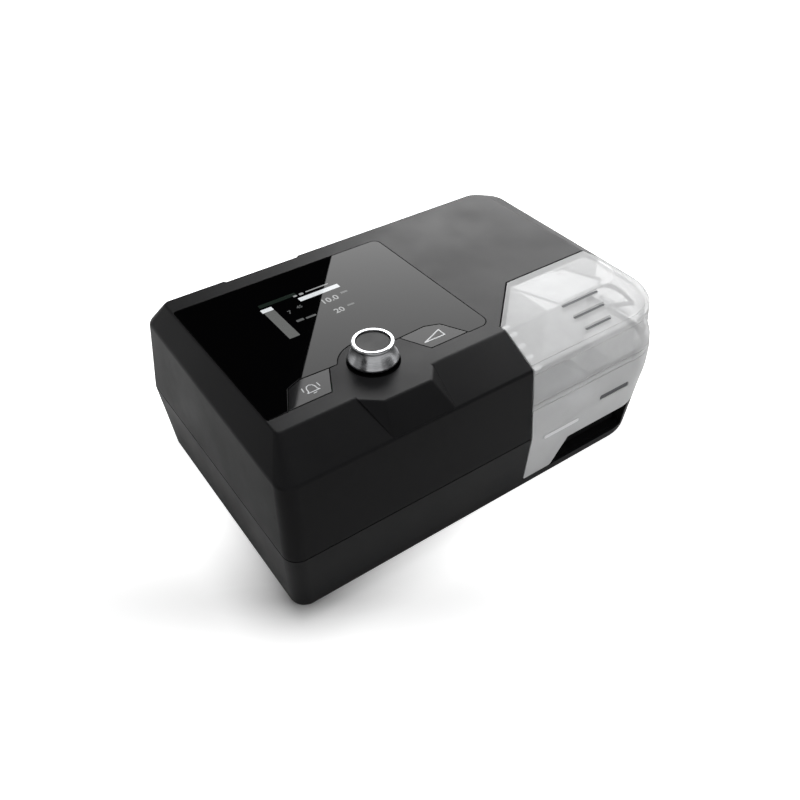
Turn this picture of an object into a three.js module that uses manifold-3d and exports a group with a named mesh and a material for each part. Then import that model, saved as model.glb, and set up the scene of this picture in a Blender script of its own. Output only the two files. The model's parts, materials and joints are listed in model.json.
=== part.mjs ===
// CPAP machine with a humidifier tank at its right front corner.
// Millimetres, +Z up, the front with the knob faces -Y, origin under the middle of the whole machine.
import * as THREE from "three";
import { ConvexGeometry } from "three/addons/geometries/ConvexGeometry.js";
import { mergeVertices } from "three/addons/utils/BufferGeometryUtils.js";
import Module from "manifold-3d";

const wasm = await Module();
wasm.setup();

// Case: overall size at the seam, and how far each other level stands in from the seam outline
const caseWidth = 265;
const caseDepth = 178;
const footHeight = 1.5;
const seamHeight = 44;
const caseHeight = 102.5;
const bottomRound = 2;
const bottomSpread = 0.8;
const bottomIn = { left: 2, right: 3, front: 4, back: 10 };
const creaseIn = { left: 3, right: 0, front: 4.5, back: 4.5, backPinch: 2 };
const creaseDrops = { frontLeft: 13, frontRight: 12, backRight: 7.5, backLeft: 11.5 };
const topIn = { left: 15, right: 16.5, front: 29, back: 12 };
const seamRadii = { frontLeft: 9, frontRight: 33, backRight: 15, backLeft: 8 };
const topRadii = { frontLeft: 3, frontRight: 18, backRight: 12, backLeft: 4 };
const wall = 2.5;
const floorWall = 3;
const topWall = 3;
const innerCreaseDrop = 0.55;
const innerTopMargin = 0.6;
const smallestRadius = 0.8;
const cutReach = 30;
const seamGap = 0.4;
const clearance = 0.3;

// Where the outline starts, so that the origin stays under the middle of everything
const portReach = 16;
const knuckleRadius = 2.4;
const hingeReach = 2 * knuckleRadius + clearance;
const left = -(caseWidth + hingeReach) / 2;
const right = left + caseWidth;
const front = -(caseDepth + portReach) / 2;
const back = front + caseDepth;
const floorZ = footHeight + floorWall;
const ceilingZ = caseHeight - topWall;

// Tank bay, let into the right front corner, with one corner cut off at 45 degrees
const bayWidth = 110;
const bayDepth = 65.5;
const returnPortIn = 33;
const portPitch = 32;
const bayCutToPort = 13;
const bayLeft = right - bayWidth;
const returnPortX = right - returnPortIn;
const supplyPortX = returnPortX - portPitch;
const bayCut = supplyPortX - bayCutToPort - bayLeft;
const bayBack = front + bayDepth;

// Display glass, let into the top
const glassMargins = { left: 16, front: 39.7, back: 25.2, bay: 1.5 };
const glassLeft = left + glassMargins.left;
const glassRight = bayLeft - glassMargins.bay;
const glassFront = front + glassMargins.front;
const glassBack = back - glassMargins.back;
const glassThickness = 1.3;
const glassBed = 0.3;
const glassGap = 0.35;
const glassCorner = 5;
const knobBay = 19;
const apron = { underKeys: 1, reach: 1 };

// Knob platform: a wedge that carries the flat top forward over the front bevel
const knobOffCentre = 1.75;
const knobSetback = 49;
const knobX = (glassLeft + glassRight) / 2 - knobOffCentre;
const knobY = front + knobSetback;
const platformTop = { behind: 27.5, backLeft: -24, backRight: 22.5, frontLeft: -13.8, frontRight: 15 };
const platformTip = { left: 19, right: 18.5 };
const platformFoot = { left: -18, right: 15.5, far: 20.5 };
const platformTuck = 4;

// Keys either side of the knob: distances from the knob's centre line, and how far each corner lies behind it
const keyEndMargin = 15;
const keyOuterCut = 8;
const keyPeakCut = 16.5;
const keyOuterTip = glassRight - knobX - keyEndMargin;
const keyBackOuter = keyOuterTip - keyOuterCut;
const keyBackInner = keyOuterTip - keyPeakCut;
const keyInnerBack = 21.5;
const keyInnerFront = 30.5;
const keyInnerRise = 8.5;
const keyOuterRise = 6;
const keyPeakRise = 9.3;
const keyGap = 0.35;
const keyThickness = 3;
const keyTravel = 0.5;
const keyStemRadius = 2;
const keyStemShift = 0.75;
const keyStemForward = 1;

// Knob
const knobTopHeight = 13;
const knobRingRadius = 11.3;
const knobWaistRadius = 10.3;
const knobSkirtRadius = 13.5;
const knobUnderGap = 1.4;
const knobCapRadius = 9.2;
const knobCapSink = 0.9;
const knobRingHeight = 2.2;
const knobSeatDepth = 2.1;
const knobEdge = 0.5;
const knobRimWidth = 0.6;
const skirtRound = 1.6;
const skirtShoulder = { out: 0.9, height: 4.4 };
const knobShaftRadius = 3;
const knobTravel = 0.6;

// Display and boards
const boardThickness = 1.6;
const panelThickness = 6.5;
const screenMargins = { left: 38, right: 42.5, front: 38.3, back: 19.8 };
const screenLeft = glassLeft + screenMargins.left;
const screenRight = glassRight - screenMargins.right;
const screenFront = glassFront + screenMargins.front;
const screenBack = glassBack - screenMargins.back;
const displayBoardMargin = 6;
const switchSize = 6;
const switchHeight = 3.2;
const encoderSize = 13;
const plungerLength = 1.4;

// Heater deck and tank
const deckHeight = 27;
const tankGap = 0.5;
const tankSeamDrop = 39.5;
const tankSeam = caseHeight - tankSeamDrop;
const tankWall = 2.4;
const tankBulgeBelow = [[1.2, 0.21], [2.2, 0.58], [2.6, 1]];
const tankBulgeAbove = [[2.2, 0.25], [1, 0.4], [0, 0.51]];
const lidRoof = 2.4;
const legWidth = 21;
const legSpread = 11;
const legThickness = 3.2;
const legBottom = 8.5;
const fingerBayDepth = 12;
const fingerBayRight = 84;
const deckPostIn = 14;
const deckPostSetback = 34;
const gripCount = 3;
const gripLength = 28;
const gripStart = 41;
const gripWidth = 1.8;
const gripDepth = 0.9;
const gripPitch = 8;
const gripStep = 2;

// Air ports between the bay wall and the tank lid
const portDrop = 26.5;
const portHeight = caseHeight - portDrop;
const portBore = 7;
const sealWall = 3;
const sealProud = 0.1;
const gasket = { width: 1.8, below: 1.2, above: 2 };
const guide = { margin: 4, depth: 30, lift: 4, sheet: 1.5 };

// Heater and tank floor plate
const heaterWidth = 46;
const heaterDepth = 34;
const heaterThickness = 3;
const heaterIn = 52;
const heaterSetback = 36;
const heaterX = right - heaterIn;
const heaterY = front + heaterSetback;
const trayThickness = 3;
const springRadius = 3.4;
const springWire = 0.6;
const springTurns = 5;
const springSpread = 13;
const tankPlateMargin = 4;
const tankPlateThickness = 1;

// Lid hinge at the tank's right side
const pinRadius = 1;
const hingeSetback = 4.5;
const hingeBack = bayBack - hingeSetback;
const knuckleLength = 8;

// Blower
const blowerIn = 87;
const blowerFromBack = 57;
const voluteDrop = 16.5;
const voluteDepth = 24;
const blowerX = right - blowerIn;
const blowerY = back - blowerFromBack;
const voluteTop = caseHeight - voluteDrop;
const voluteBottom = voluteTop - voluteDepth;
const voluteSmall = 27;
const voluteGrowth = 7;
const voluteWall = 2.2;
const impellerRadius = 24;
const impellerGap = 1.2;
const hubRadius = 6;
const bladeThickness = 1;
const bladeCount = 9;
const shaftRadius = 2;
const motorRadius = 17;
const motorHeight = 11;
const motorLid = 1.5;
const nozzleRadius = 9;
const nozzleLength = 8;
const nozzleWall = 1.8;
const pipeWall = 1.6;
const mountRadius = 4.5;
const mountHeight = 11.4;
const mountAngles = [60, 240, 330];

// Air path at the back
const outletDrop = 44.5;
const outletHeight = caseHeight - outletDrop;
const outletRadius = 11;
const outletBore = 8.5;
const outletFlange = 3.5;
const outletFlangeRim = 2.5;
const ductWall = 2;
const filterIn = 54;
const filterWidth = 49;
const filterSill = 8;
const filterHead = 14.5;
const filterLeft = left + filterIn;
const filterRight = filterLeft + filterWidth;
const filterBottom = seamHeight + filterSill;
const filterTop = caseHeight - filterHead;
const coverThickness = 2.2;
const filterThickness = 6;
const filterRecess = 5.5;
const notchDepth = 4.5;
const notchWidth = 42;
const notchDrop = 2.2;
const louvreCount = 6;
const louvreHeight = 1.8;
const louvreMargin = 6;
const mufflerDepth = 44;
const mufflerDrop = 26;
const mufflerBottom = voluteBottom - mufflerDrop;
const mufflerMargin = 5;
const mufflerPostIn = 25;
const mufflerPostSetback = 12;

// Power inlet and card slot, low on the back
const mainBoardIn = 19.5;
const mainBoardWidth = 48.5;
const mainBoardSetback = 24;
const mainBoardLeft = left + mainBoardIn;
const mainBoardRight = mainBoardLeft + mainBoardWidth;
const mainBoardFront = front + mainBoardSetback;
const mainBoardHeight = 9;
const boardPostIn = 6;
const boardPostFromBack = 20;
const boardMargin = 3;
const buzzerPlace = { in: 20, setback: 30, radius: 6, height: 7 };
const sensorSize = { width: 10, depth: 12, height: 4, setback: 3 };
const inletIn = 28.5;
const inletX = left + inletIn;
const inletWidth = 16;
const inletHeight = 12;
const inletRim = 2;
const socketDepth = 10;
const pinPitch = 3.4;
const pinLength = 5;
const pinSize = 1.2;
const cardIn = 53.5;
const cardX = left + cardIn;
const cardWidth = 28;
const cardHeight = 12;
const cardDoorMargin = 2;
const card = { width: 24.4, depth: 26, thickness: 2.4, above: 0.9, socketHeight: 4, setback: 3 };
const doorPivot = 1.1;
const pivotSink = 0.15;

// Feet and case screws
const footRadius = 7;
const footInset = 24;
const footSink = 1.2;
const screwInset = 14.5;
const screwRadius = 1.5;
const screwHeadRadius = 2.9;
const screwBoss = 4.5;
const screwReach = 12;
const screwHeadSink = 1;
const screwHeadSeat = 1.5;
const screwSlotWidth = 0.8;

const far = 400;

// Materials, one maker for each finish
const finish = (color, roughness, metalness = 0, opacity = 1) =>
  new THREE.MeshStandardMaterial({ color, roughness, metalness, opacity, transparent: opacity < 1 });
const blackPlastic = finish(0x1c1c1e, 0.45);
const blackGlass = finish(0x050506, 0.06);
const greyPlastic = finish(0x4b4c50, 0.5);
const silver = finish(0xb8babd, 0.28, 0.9);
const frostedPlastic = finish(0xe4e8ea, 0.35, 0, 0.6);
const steel = finish(0x9da1a5, 0.3, 1);
const rubber = finish(0x26272a, 0.85);
const boardGreen = finish(0x1d5a38, 0.55);
const whitePlastic = finish(0xd9dadb, 0.5);
const foam = finish(0x8f9499, 0.95);

// Solids from three.js shapes, joined and cut
function solid(geometry) {
  const bare = geometry.clone();
  bare.deleteAttribute("normal");
  bare.deleteAttribute("uv");
  const merged = mergeVertices(bare, 1e-4);
  return new wasm.Manifold(new wasm.Mesh({
    numProp: 3,
    vertProperties: new Float32Array(merged.attributes.position.array),
    triVerts: new Uint32Array(merged.index.array),
  }));
}

function piece(name, body, material) {
  const mesh = body.getMesh();
  const geometry = new THREE.BufferGeometry();
  geometry.setAttribute("position", new THREE.BufferAttribute(new Float32Array(mesh.vertProperties), 3));
  geometry.setIndex(new THREE.BufferAttribute(new Uint32Array(mesh.triVerts), 1));
  geometry.computeVertexNormals();
  const result = new THREE.Mesh(geometry, material);
  result.name = name;
  return result;
}

const box = (x0, x1, y0, y1, z0, z1) => solid(
  new THREE.BoxGeometry(x1 - x0, y1 - y0, z1 - z0).translate((x0 + x1) / 2, (y0 + y1) / 2, (z0 + z1) / 2));

const upright = (x, y, radius, z0, z1, sides = 24) => solid(
  new THREE.CylinderGeometry(radius, radius, z1 - z0, sides).rotateX(Math.PI / 2)
    .translate(x, y, (z0 + z1) / 2));

const lengthwise = (x, z, radius, y0, y1, sides = 24) => solid(
  new THREE.CylinderGeometry(radius, radius, y1 - y0, sides).translate(x, (y0 + y1) / 2, z));

const crosswise = (y, z, radius, x0, x1, sides = 16) => solid(
  new THREE.CylinderGeometry(radius, radius, x1 - x0, sides).rotateZ(Math.PI / 2)
    .translate((x0 + x1) / 2, y, z));

const prism = (points, z0, z1) => solid(new THREE.ExtrudeGeometry(
  new THREE.Shape(points.map(([x, y]) => new THREE.Vector2(x, y))),
  { depth: z1 - z0, bevelEnabled: false }).translate(0, 0, z0));

// A turned piece: profile points are [radius, height] and start and end on the axis
const turned = (profile, x, y, sides = 40) => solid(
  new THREE.LatheGeometry(profile.map(([r, z]) => new THREE.Vector2(r, z)), sides)
    .rotateX(Math.PI / 2).translate(x, y, 0));

// Outline of one level: a box with an arc at each corner, counterclockwise
const arcSteps = { frontLeft: 6, frontRight: 12, backRight: 5, backLeft: 5 };

function outline(inset, radii, margin, bulge = 0) {
  const pinch = inset.backPinch ?? 0;
  const r = right - inset.right - margin;
  const f = front + inset.front + margin;
  const b = back - inset.back - margin;
  const corners = [
    ["frontLeft", 1, 1, Math.PI],
    ["frontRight", -1, 1, Math.PI * 1.5],
    ["backRight", -1, -1, 0],
    ["backLeft", 1, -1, Math.PI / 2],
  ];
  return corners.flatMap(([corner, towardsX, towardsY, start]) => {
    const l = left + inset.left + margin + (corner === "backLeft" ? pinch : 0);
    const radius = Math.max(radii[corner] - margin, smallestRadius);
    const cx = (towardsX > 0 ? l : r) + towardsX * radius;
    const cy = (towardsY > 0 ? f : b) + towardsY * radius;
    const steps = arcSteps[corner];
    return Array.from({ length: steps + 1 }, (_, i) => {
      const angle = start + (Math.PI / 2) * (i / steps);
      const reach = radius + (corner === "frontRight" ? bulge * Math.sin((Math.PI * i) / steps) : 0);
      return [cx + reach * Math.cos(angle), cy + reach * Math.sin(angle)];
    });
  });
}

// A closed skin through outlines stacked at their heights
function loft(levels) {
  const count = levels[0].ring.length;
  const positions = levels.flatMap(({ ring, z }) => ring.flatMap(([x, y]) => [x, y, z(x, y)]));
  const index = [];
  for (let k = 0; k + 1 < levels.length; k += 1) {
    for (let i = 0; i < count; i += 1) {
      const a = k * count + i;
      const b = k * count + ((i + 1) % count);
      index.push(a, b, b + count, a, b + count, a + count);
    }
  }
  const flatRing = (ring) => ring.map(([x, y]) => new THREE.Vector2(x, y));
  const cap = ({ ring }) => THREE.ShapeUtils.triangulateShape(flatRing(ring), []);
  const topStart = (levels.length - 1) * count;
  cap(levels[0]).forEach(([a, b, c]) => index.push(a, c, b));
  cap(levels.at(-1)).forEach((corners) => index.push(...corners.map((corner) => topStart + corner)));
  const geometry = new THREE.BufferGeometry();
  geometry.setAttribute("position", new THREE.Float32BufferAttribute(positions, 3));
  geometry.setIndex(index);
  return geometry;
}

const noInset = { left: 0, right: 0, front: 0, back: 0 };
const flat = (z) => () => z;

// The crease between the walls and the bevels rises towards the back right corner
function creaseAt(x, y) {
  const across = (x - left) / caseWidth;
  const along = (y - front) / caseDepth;
  const frontDrop = creaseDrops.frontLeft * (1 - across) + creaseDrops.frontRight * across;
  const backDrop = creaseDrops.backLeft * (1 - across) + creaseDrops.backRight * across;
  return caseHeight - frontDrop * (1 - along) - backDrop * along;
}

// The tank's outer corner bulges round its seam; the walls there lean in from the case seam to the crease
const bulges = [
  ...tankBulgeBelow.map(([bulge, share]) => [bulge, seamHeight + (tankSeam - seamHeight) * share]),
  ...tankBulgeAbove.map(([bulge, share]) => [bulge, tankSeam + (creaseAt(right, front) - tankSeam) * share]),
];
const bulgeLevels = (margin) => bulges.map(([bulge, z]) => {
  const lean = (z - seamHeight) / (creaseAt(right, front) - seamHeight);
  const sides = Object.entries(creaseIn).map(([side, distance]) => [side, distance * lean]);
  const inset = Object.fromEntries(sides);
  return { z: flat(z), ring: outline(inset, seamRadii, margin, bulge) };
});

const outerLevels = () => [
  { z: flat(footHeight), ring: outline(bottomIn, seamRadii, bottomRound * bottomSpread) },
  { z: flat(footHeight + bottomRound), ring: outline(bottomIn, seamRadii, 0) },
  { z: flat(seamHeight), ring: outline(noInset, seamRadii, 0) },
  ...bulgeLevels(0),
  { z: creaseAt, ring: outline(creaseIn, seamRadii, 0) },
  { z: flat(caseHeight), ring: outline(topIn, topRadii, 0) },
];

// The inside follows the outside: its crease lies lower, and its top outline further in
function hollow(margin, floorHeight, roofThickness) {
  const creaseDrop = margin * innerCreaseDrop;
  return solid(loft([
    { z: flat(floorHeight), ring: outline(bottomIn, seamRadii, margin) },
    { z: flat(seamHeight), ring: outline(noInset, seamRadii, margin) },
    ...bulgeLevels(margin),
    { z: (x, y) => creaseAt(x, y) - creaseDrop, ring: outline(creaseIn, seamRadii, margin) },
    { z: flat(caseHeight - roofThickness), ring: outline(topIn, topRadii, margin * innerTopMargin) },
  ]));
}

// Knob platform wedge between the flat top and the front crease
function platform() {
  const top = caseHeight;
  const footAt = (x, y) => [x, y, creaseAt(x, front + creaseIn.front)];
  const footY = front + creaseIn.front;
  const backY = front + topIn.front + platformTuck;
  const bevelY = front + platformTop.behind;
  const points = [
    [knobX + platformTop.backLeft, backY, top],
    [knobX + platformTop.backRight, backY, top],
    [knobX + platformTop.backLeft, bevelY, top],
    [knobX + platformTop.backRight, bevelY, top],
    [knobX + platformTop.frontLeft, front + platformTip.left, top],
    [knobX + platformTop.frontRight, front + platformTip.right, top],
    footAt(knobX + platformFoot.left, footY),
    footAt(knobX + platformFoot.right, footY),
    footAt(knobX + platformFoot.far, footY),
    footAt(knobX + platformFoot.left, backY),
    footAt(knobX + platformFoot.far, backY),
  ];
  return solid(new ConvexGeometry(points.map(([x, y, z]) => new THREE.Vector3(x, y, z))));
}

const shellOutside = solid(loft(outerLevels()));
const caseOutside = shellOutside.add(platform());
const above = (z) => box(-far, far, -far, far, z, far);
const below = (z) => box(-far, far, -far, far, -far, z);

// Plan of the tank bay, with its sides moved out by grow
function bayPlan(grow) {
  const slant = grow * (Math.SQRT2 - 1);
  return [
    [bayLeft - grow, -far],
    [far, -far],
    [far, bayBack + grow],
    [bayLeft + bayCut - slant, bayBack + grow],
    [bayLeft - grow, bayBack - bayCut + slant],
  ];
}

const bay = (grow, z0) => prism(bayPlan(grow), z0, far);

// Finger bay and leg recess in the front of the heater deck
const fingerBay = (grow) => box(bayLeft - grow, bayLeft + fingerBayRight + grow, -far,
  front + fingerBayDepth + grow, legBottom - clearance - grow, deckHeight + grow);

// Outer back wall of the case at a height above or below the seam
function backWallY(z) {
  const low = back - bottomIn.back;
  const high = back - creaseIn.back;
  if (z < seamHeight) {
    return low + ((back - low) * (z - footHeight - bottomRound)) / (seamHeight - footHeight - bottomRound);
  }
  return back - ((back - high) * (z - seamHeight)) / (creaseAt(filterLeft, back) - seamHeight);
}

const feetPlaces = [
  [left + footInset, front + footInset],
  [left + footInset, back - footInset - bottomIn.back],
  [right - footInset, back - footInset - bottomIn.back],
  [right - footInset - seamRadii.frontRight / 3, front + footInset + seamRadii.frontRight / 3],
];
const screwPlaces = [
  [left + screwInset, front + screwInset],
  [left + screwInset, back - screwInset],
  [right - screwInset, back - screwInset],
  [bayLeft - screwInset + 4, front + screwInset],
];
const mountPlaces = mountAngles.map((degrees) => {
  const angle = THREE.MathUtils.degToRad(degrees);
  return [blowerX + (voluteSmall - 1) * Math.cos(angle), blowerY + (voluteSmall - 1) * Math.sin(angle)];
});
const mountFoot = voluteBottom - mountHeight - 2 * clearance;

// Outline of one key; side is -1 for the left key and 1 for the right, grow widens it
function keyOutline(side, grow) {
  const points = [
    [keyInnerFront, glassFront],
    [keyOuterTip, glassFront],
    [keyBackOuter, knobY + keyOuterRise],
    [keyBackInner, knobY + keyPeakRise],
    [keyInnerBack, knobY + keyInnerRise],
  ];
  const cx = points.reduce((sum, point) => sum + point[0], 0) / points.length;
  const cy = points.reduce((sum, point) => sum + point[1], 0) / points.length;
  const placed = points.map(([x, y]) => {
    const reach = Math.hypot(x - cx, y - cy);
    const scale = (reach + grow) / reach;
    return [knobX + side * (cx + (x - cx) * scale), cy + (y - cy) * scale];
  });
  return side > 0 ? placed : placed.reverse();
}

const keyCentre = (side) => [
  knobX + side * ((keyOuterTip + keyInnerBack) / 2 + keyStemShift), knobY - keyStemForward];

// Glass outline: a pane with rounded right corners; the keys and the knob bay are cut from it
function glassPlan(grow) {
  const l = glassLeft - grow;
  const r = glassRight + grow;
  const f = glassFront - grow;
  const b = glassBack + grow;
  const c = glassCorner;
  return [[l, f], [r - c, f], [r, f + c], [r, b - c], [r - c, b], [l, b]];
}

function glassBody(grow, z0, z1) {
  const pane = prism(glassPlan(grow), z0, z1);
  const keys = [-1, 1].map((side) => prism(keyOutline(side, -grow), z0 - 1, z1 + 1));
  const knobRound = upright(knobX, knobY, knobBay - grow, z0 - 1, z1 + 1, 40);
  const frontHalf = keyInnerFront + apron.underKeys - grow;
  const backHalf = keyInnerBack + apron.underKeys - grow;
  const backY = knobY + keyInnerRise - grow;
  const between = prism([
    [knobX - frontHalf, glassFront - apron.reach], [knobX + frontHalf, glassFront - apron.reach],
    [knobX + backHalf, backY], [knobX - backHalf, backY],
  ], z0 - 1, z1 + 1);
  return pane.subtract(keys[0]).subtract(keys[1]).subtract(knobRound).subtract(between);
}

const screenBlock = (margin, z0, z1) => box(
  screenLeft + margin, screenRight - margin, screenFront + margin, screenBack - margin, z0, z1);

const outletX = returnPortX;
const outletHole = () => lengthwise(outletX, outletHeight, outletRadius + clearance,
  back - cutReach, far, 32);

function upperCase() {
  const rim = seamHeight + seamGap / 2;
  let body = caseOutside.intersect(above(rim)).subtract(hollow(wall, floorZ, topWall)).subtract(bay(0, 0));
  screwPlaces.forEach(([x, y]) => {
    body = body.add(upright(x, y, screwBoss, rim, ceilingZ + 0.5, 16).intersect(shellOutside));
  });
  screwPlaces.forEach(([x, y]) => {
    body = body.subtract(upright(x, y, screwRadius + clearance, rim - 1, rim + screwReach + 1, 16));
  });
  const bedZ = caseHeight - glassThickness - glassBed;
  body = body.subtract(glassBody(glassGap, bedZ, caseHeight + 1));
  body = body.subtract(screenBlock(1, ceilingZ - 1, caseHeight));
  [-1, 1].forEach((side) => {
    body = body.subtract(prism(keyOutline(side, 0), ceilingZ - 1, caseHeight + 1));
  });
  body = body.subtract(upright(knobX, knobY, knobShaftRadius + 2, ceilingZ - 1, caseHeight + 1));
  body = body.subtract(filterCutout(0));
  body = body.subtract(fingerNotch());
  return body.subtract(outletHole());
}

// Wall round the tank bay inside the upper case, with a hole for each port seal
function bayWall() {
  const room = hollow(wall + clearance, floorZ, topWall + clearance);
  let body = room.intersect(bay(wall, seamHeight + seamGap / 2)).subtract(bay(0, 0));
  [supplyPortX, returnPortX].forEach((x) => {
    const reach = 2 * wall;
    const radius = portBore + sealWall + clearance;
    body = body.subtract(lengthwise(x, portHeight, radius, bayBack - reach, bayBack + reach));
  });
  return body;
}

const filterCutout = (shrink) => box(filterLeft + shrink, filterRight - shrink, back - cutReach / 2, far,
  filterBottom + shrink, filterTop - shrink);

// Finger notch in the back edge of the top, over the filter cover
function fingerNotch() {
  const middle = (filterLeft + filterRight) / 2;
  const edge = back - topIn.back;
  const points = [
    [middle - notchWidth / 2 - notchDepth, far],
    [middle - notchWidth / 2 - notchDepth, edge + 0.01],
    [middle - notchWidth / 2, edge - notchDepth],
    [middle + notchWidth / 2, edge - notchDepth],
    [middle + notchWidth / 2 + notchDepth, edge + 0.01],
    [middle + notchWidth / 2 + notchDepth, far],
  ].reverse();
  return prism(points, caseHeight - notchDrop, far);
}

function lowerCase() {
  const rim = seamHeight - seamGap / 2;
  let body = shellOutside.intersect(below(rim)).subtract(hollow(wall, floorZ, topWall));
  body = body.subtract(bay(0, deckHeight)).subtract(fingerBay(0));
  const standOn = (x, y, radius, z1) => {
    body = body.add(upright(x, y, radius, footHeight + 0.5, z1, 16));
  };
  screwPlaces.forEach(([x, y]) => standOn(x, y, screwBoss, rim));
  mountPlaces.forEach(([x, y]) => standOn(x, y, mountRadius, mountFoot));
  boardPosts.forEach(([x, y]) => standOn(x, y, screwBoss, mainBoardHeight - clearance));
  mufflerPosts.forEach(([x, y]) => standOn(x, y, screwBoss, mufflerBottom - clearance));
  springPlaces.forEach(([x, y]) => standOn(x, y, springRadius + 1, springFoot));
  deckPosts.forEach(([x, y]) => standOn(x, y, screwBoss, deckHeight - wall - clearance));
  body = body.intersect(shellOutside);
  screwPlaces.forEach(([x, y]) => {
    body = body.subtract(upright(x, y, screwHeadRadius + clearance, -1, floorZ + screwHeadSeat, 16));
    body = body.subtract(upright(x, y, screwRadius + clearance, -1, far, 16));
  });
  feetPlaces.forEach(([x, y]) => {
    body = body.subtract(upright(x, y, footRadius + clearance, -1, footHeight + footSink, 32));
  });
  body = body.subtract(inletCutout(clearance));
  body = body.subtract(doorCutout(0));
  body = body.subtract(outletHole());
  return body;
}

// Heater deck: a tray let into the lower case that forms the floor and the lower walls of the tank bay
const deckPosts = [
  [bayLeft + deckPostIn, front + deckPostSetback],
  [supplyPortX, bayBack - deckPostIn / 2],
  [right - deckPostIn, bayBack - deckPostIn / 2],
  [right - deckPostIn, front + deckPostSetback],
];

function heaterDeck() {
  const room = hollow(wall + clearance, floorZ, topWall).intersect(below(seamHeight - seamGap / 2));
  const walls = bay(wall, deckHeight - wall).add(fingerBay(wall));
  const hx = heaterWidth / 2 + clearance;
  const hy = heaterDepth / 2 + clearance;
  return room.intersect(walls).subtract(bay(0, deckHeight)).subtract(fingerBay(0))
    .subtract(box(heaterX - hx, heaterX + hx, heaterY - hy, heaterY + hy, floorZ, deckHeight + 1));
}

// Heater stack under the deck, from the plate down to the spring seats
const heaterTop = deckHeight + tankGap - clearance;
const trayTop = heaterTop - heaterThickness - clearance;
const trayBottom = trayTop - trayThickness;
const springTop = trayBottom - clearance;
const springFoot = floorZ + 2;
const springPlaces = [-1, 1].map((side) => [heaterX + side * springSpread, heaterY]);

function heaterPlate() {
  const x = heaterWidth / 2;
  const y = heaterDepth / 2;
  return box(heaterX - x, heaterX + x, heaterY - y, heaterY + y, heaterTop - heaterThickness, heaterTop);
}

function heaterTray() {
  const x = heaterWidth / 2 - 1;
  const y = heaterDepth / 2 - 1;
  return box(heaterX - x, heaterX + x, heaterY - y, heaterY + y, trayBottom, trayTop);
}

// A coil of round wire standing on its seat, ends flat enough to carry the tray
class Helix extends THREE.Curve {
  constructor(x, y, z0, z1, radius, turns) {
    super();
    Object.assign(this, { x, y, z0, z1, radius, turns });
  }

  getPoint(t) {
    const angle = t * this.turns * Math.PI * 2;
    return new THREE.Vector3(this.x + this.radius * Math.cos(angle), this.y + this.radius * Math.sin(angle),
      this.z0 + (this.z1 - this.z0) * t);
  }
}

function round(radius, sides) {
  const shape = new THREE.Shape();
  for (let i = 0; i < sides; i += 1) {
    const angle = (i / sides) * Math.PI * 2;
    const x = radius * Math.cos(angle);
    const y = radius * Math.sin(angle);
    if (i === 0) shape.moveTo(x, y);
    else shape.lineTo(x, y);
  }
  shape.closePath();
  return shape;
}

function heaterSpring([x, y]) {
  const path = new Helix(x, y, springFoot + clearance + springWire, springTop - springWire,
    springRadius - springWire, springTurns);
  return solid(new THREE.ExtrudeGeometry(round(springWire, 6),
    { steps: springTurns * 10, extrudePath: path, bevelEnabled: false }));
}

// Tank: tub below the tank seam and lid above it, both cut from the case's own outer form
const tankOutside = caseOutside.intersect(prism(bayPlan(-tankGap), 0, far));
const tankInside = hollow(tankWall, floorZ, lidRoof).intersect(prism(bayPlan(-tankGap - tankWall), 0, far));
const tubBottom = deckHeight + tankGap;
const hingeZ = tankSeam;
const hingeX = right + hingeReach - knuckleRadius;
const knuckleEdges = [0, 1, 2, 3].map((i) => hingeBack - i * (knuckleLength + clearance));

function knuckle(i) {
  return lengthwise(hingeX, hingeZ, knuckleRadius, knuckleEdges[i + 1] + clearance, knuckleEdges[i], 16);
}

const pinHole = () => lengthwise(hingeX, hingeZ, pinRadius + clearance / 3, -far, far, 12);

const tankPlateX = heaterWidth / 2 + tankPlateMargin;
const tankPlateY = heaterDepth / 2 + tankPlateMargin;
const tankPlateBlock = (margin, z0, z1) => box(heaterX - tankPlateX - margin, heaterX + tankPlateX + margin,
  heaterY - tankPlateY - margin, heaterY + tankPlateY + margin, z0, z1);

function tankTub() {
  const rim = tankSeam - clearance / 2;
  const legSide = bayLeft + tankGap;
  const leg = solid(new THREE.ExtrudeGeometry(new THREE.Shape([
    [legSide, legBottom], [legSide + legWidth, legBottom],
    [legSide + legWidth + legSpread, tubBottom + 1], [legSide, tubBottom + 1],
  ].map(([x, z]) => new THREE.Vector2(x, z))), { depth: caseDepth, bevelEnabled: false })
    .rotateX(Math.PI / 2).translate(0, back, 0));
  const legDepth = box(-far, far, -far, front + legThickness + bottomIn.front, -far, tubBottom + 1);
  let body = tankOutside.intersect(above(tubBottom)).intersect(below(rim));
  body = body.add(tankOutside.intersect(leg).intersect(legDepth));
  const floorOfTub = tubBottom + tankWall;
  body = body.subtract(tankInside.intersect(above(floorOfTub)).intersect(below(rim + 1)));
  body = body.subtract(tankPlateBlock(clearance, tubBottom - 1, tubBottom + tankPlateThickness + clearance));
  body = body.subtract(tankPlateBlock(-tankPlateMargin / 2, tubBottom - 1, floorOfTub + 1));
  const web = box(right - 1, hingeX, knuckleEdges[2] + clearance, knuckleEdges[1],
    hingeZ - knuckleRadius, hingeZ - knuckleRadius / 3);
  return body.add(knuckle(1).add(web)).subtract(pinHole());
}

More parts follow.
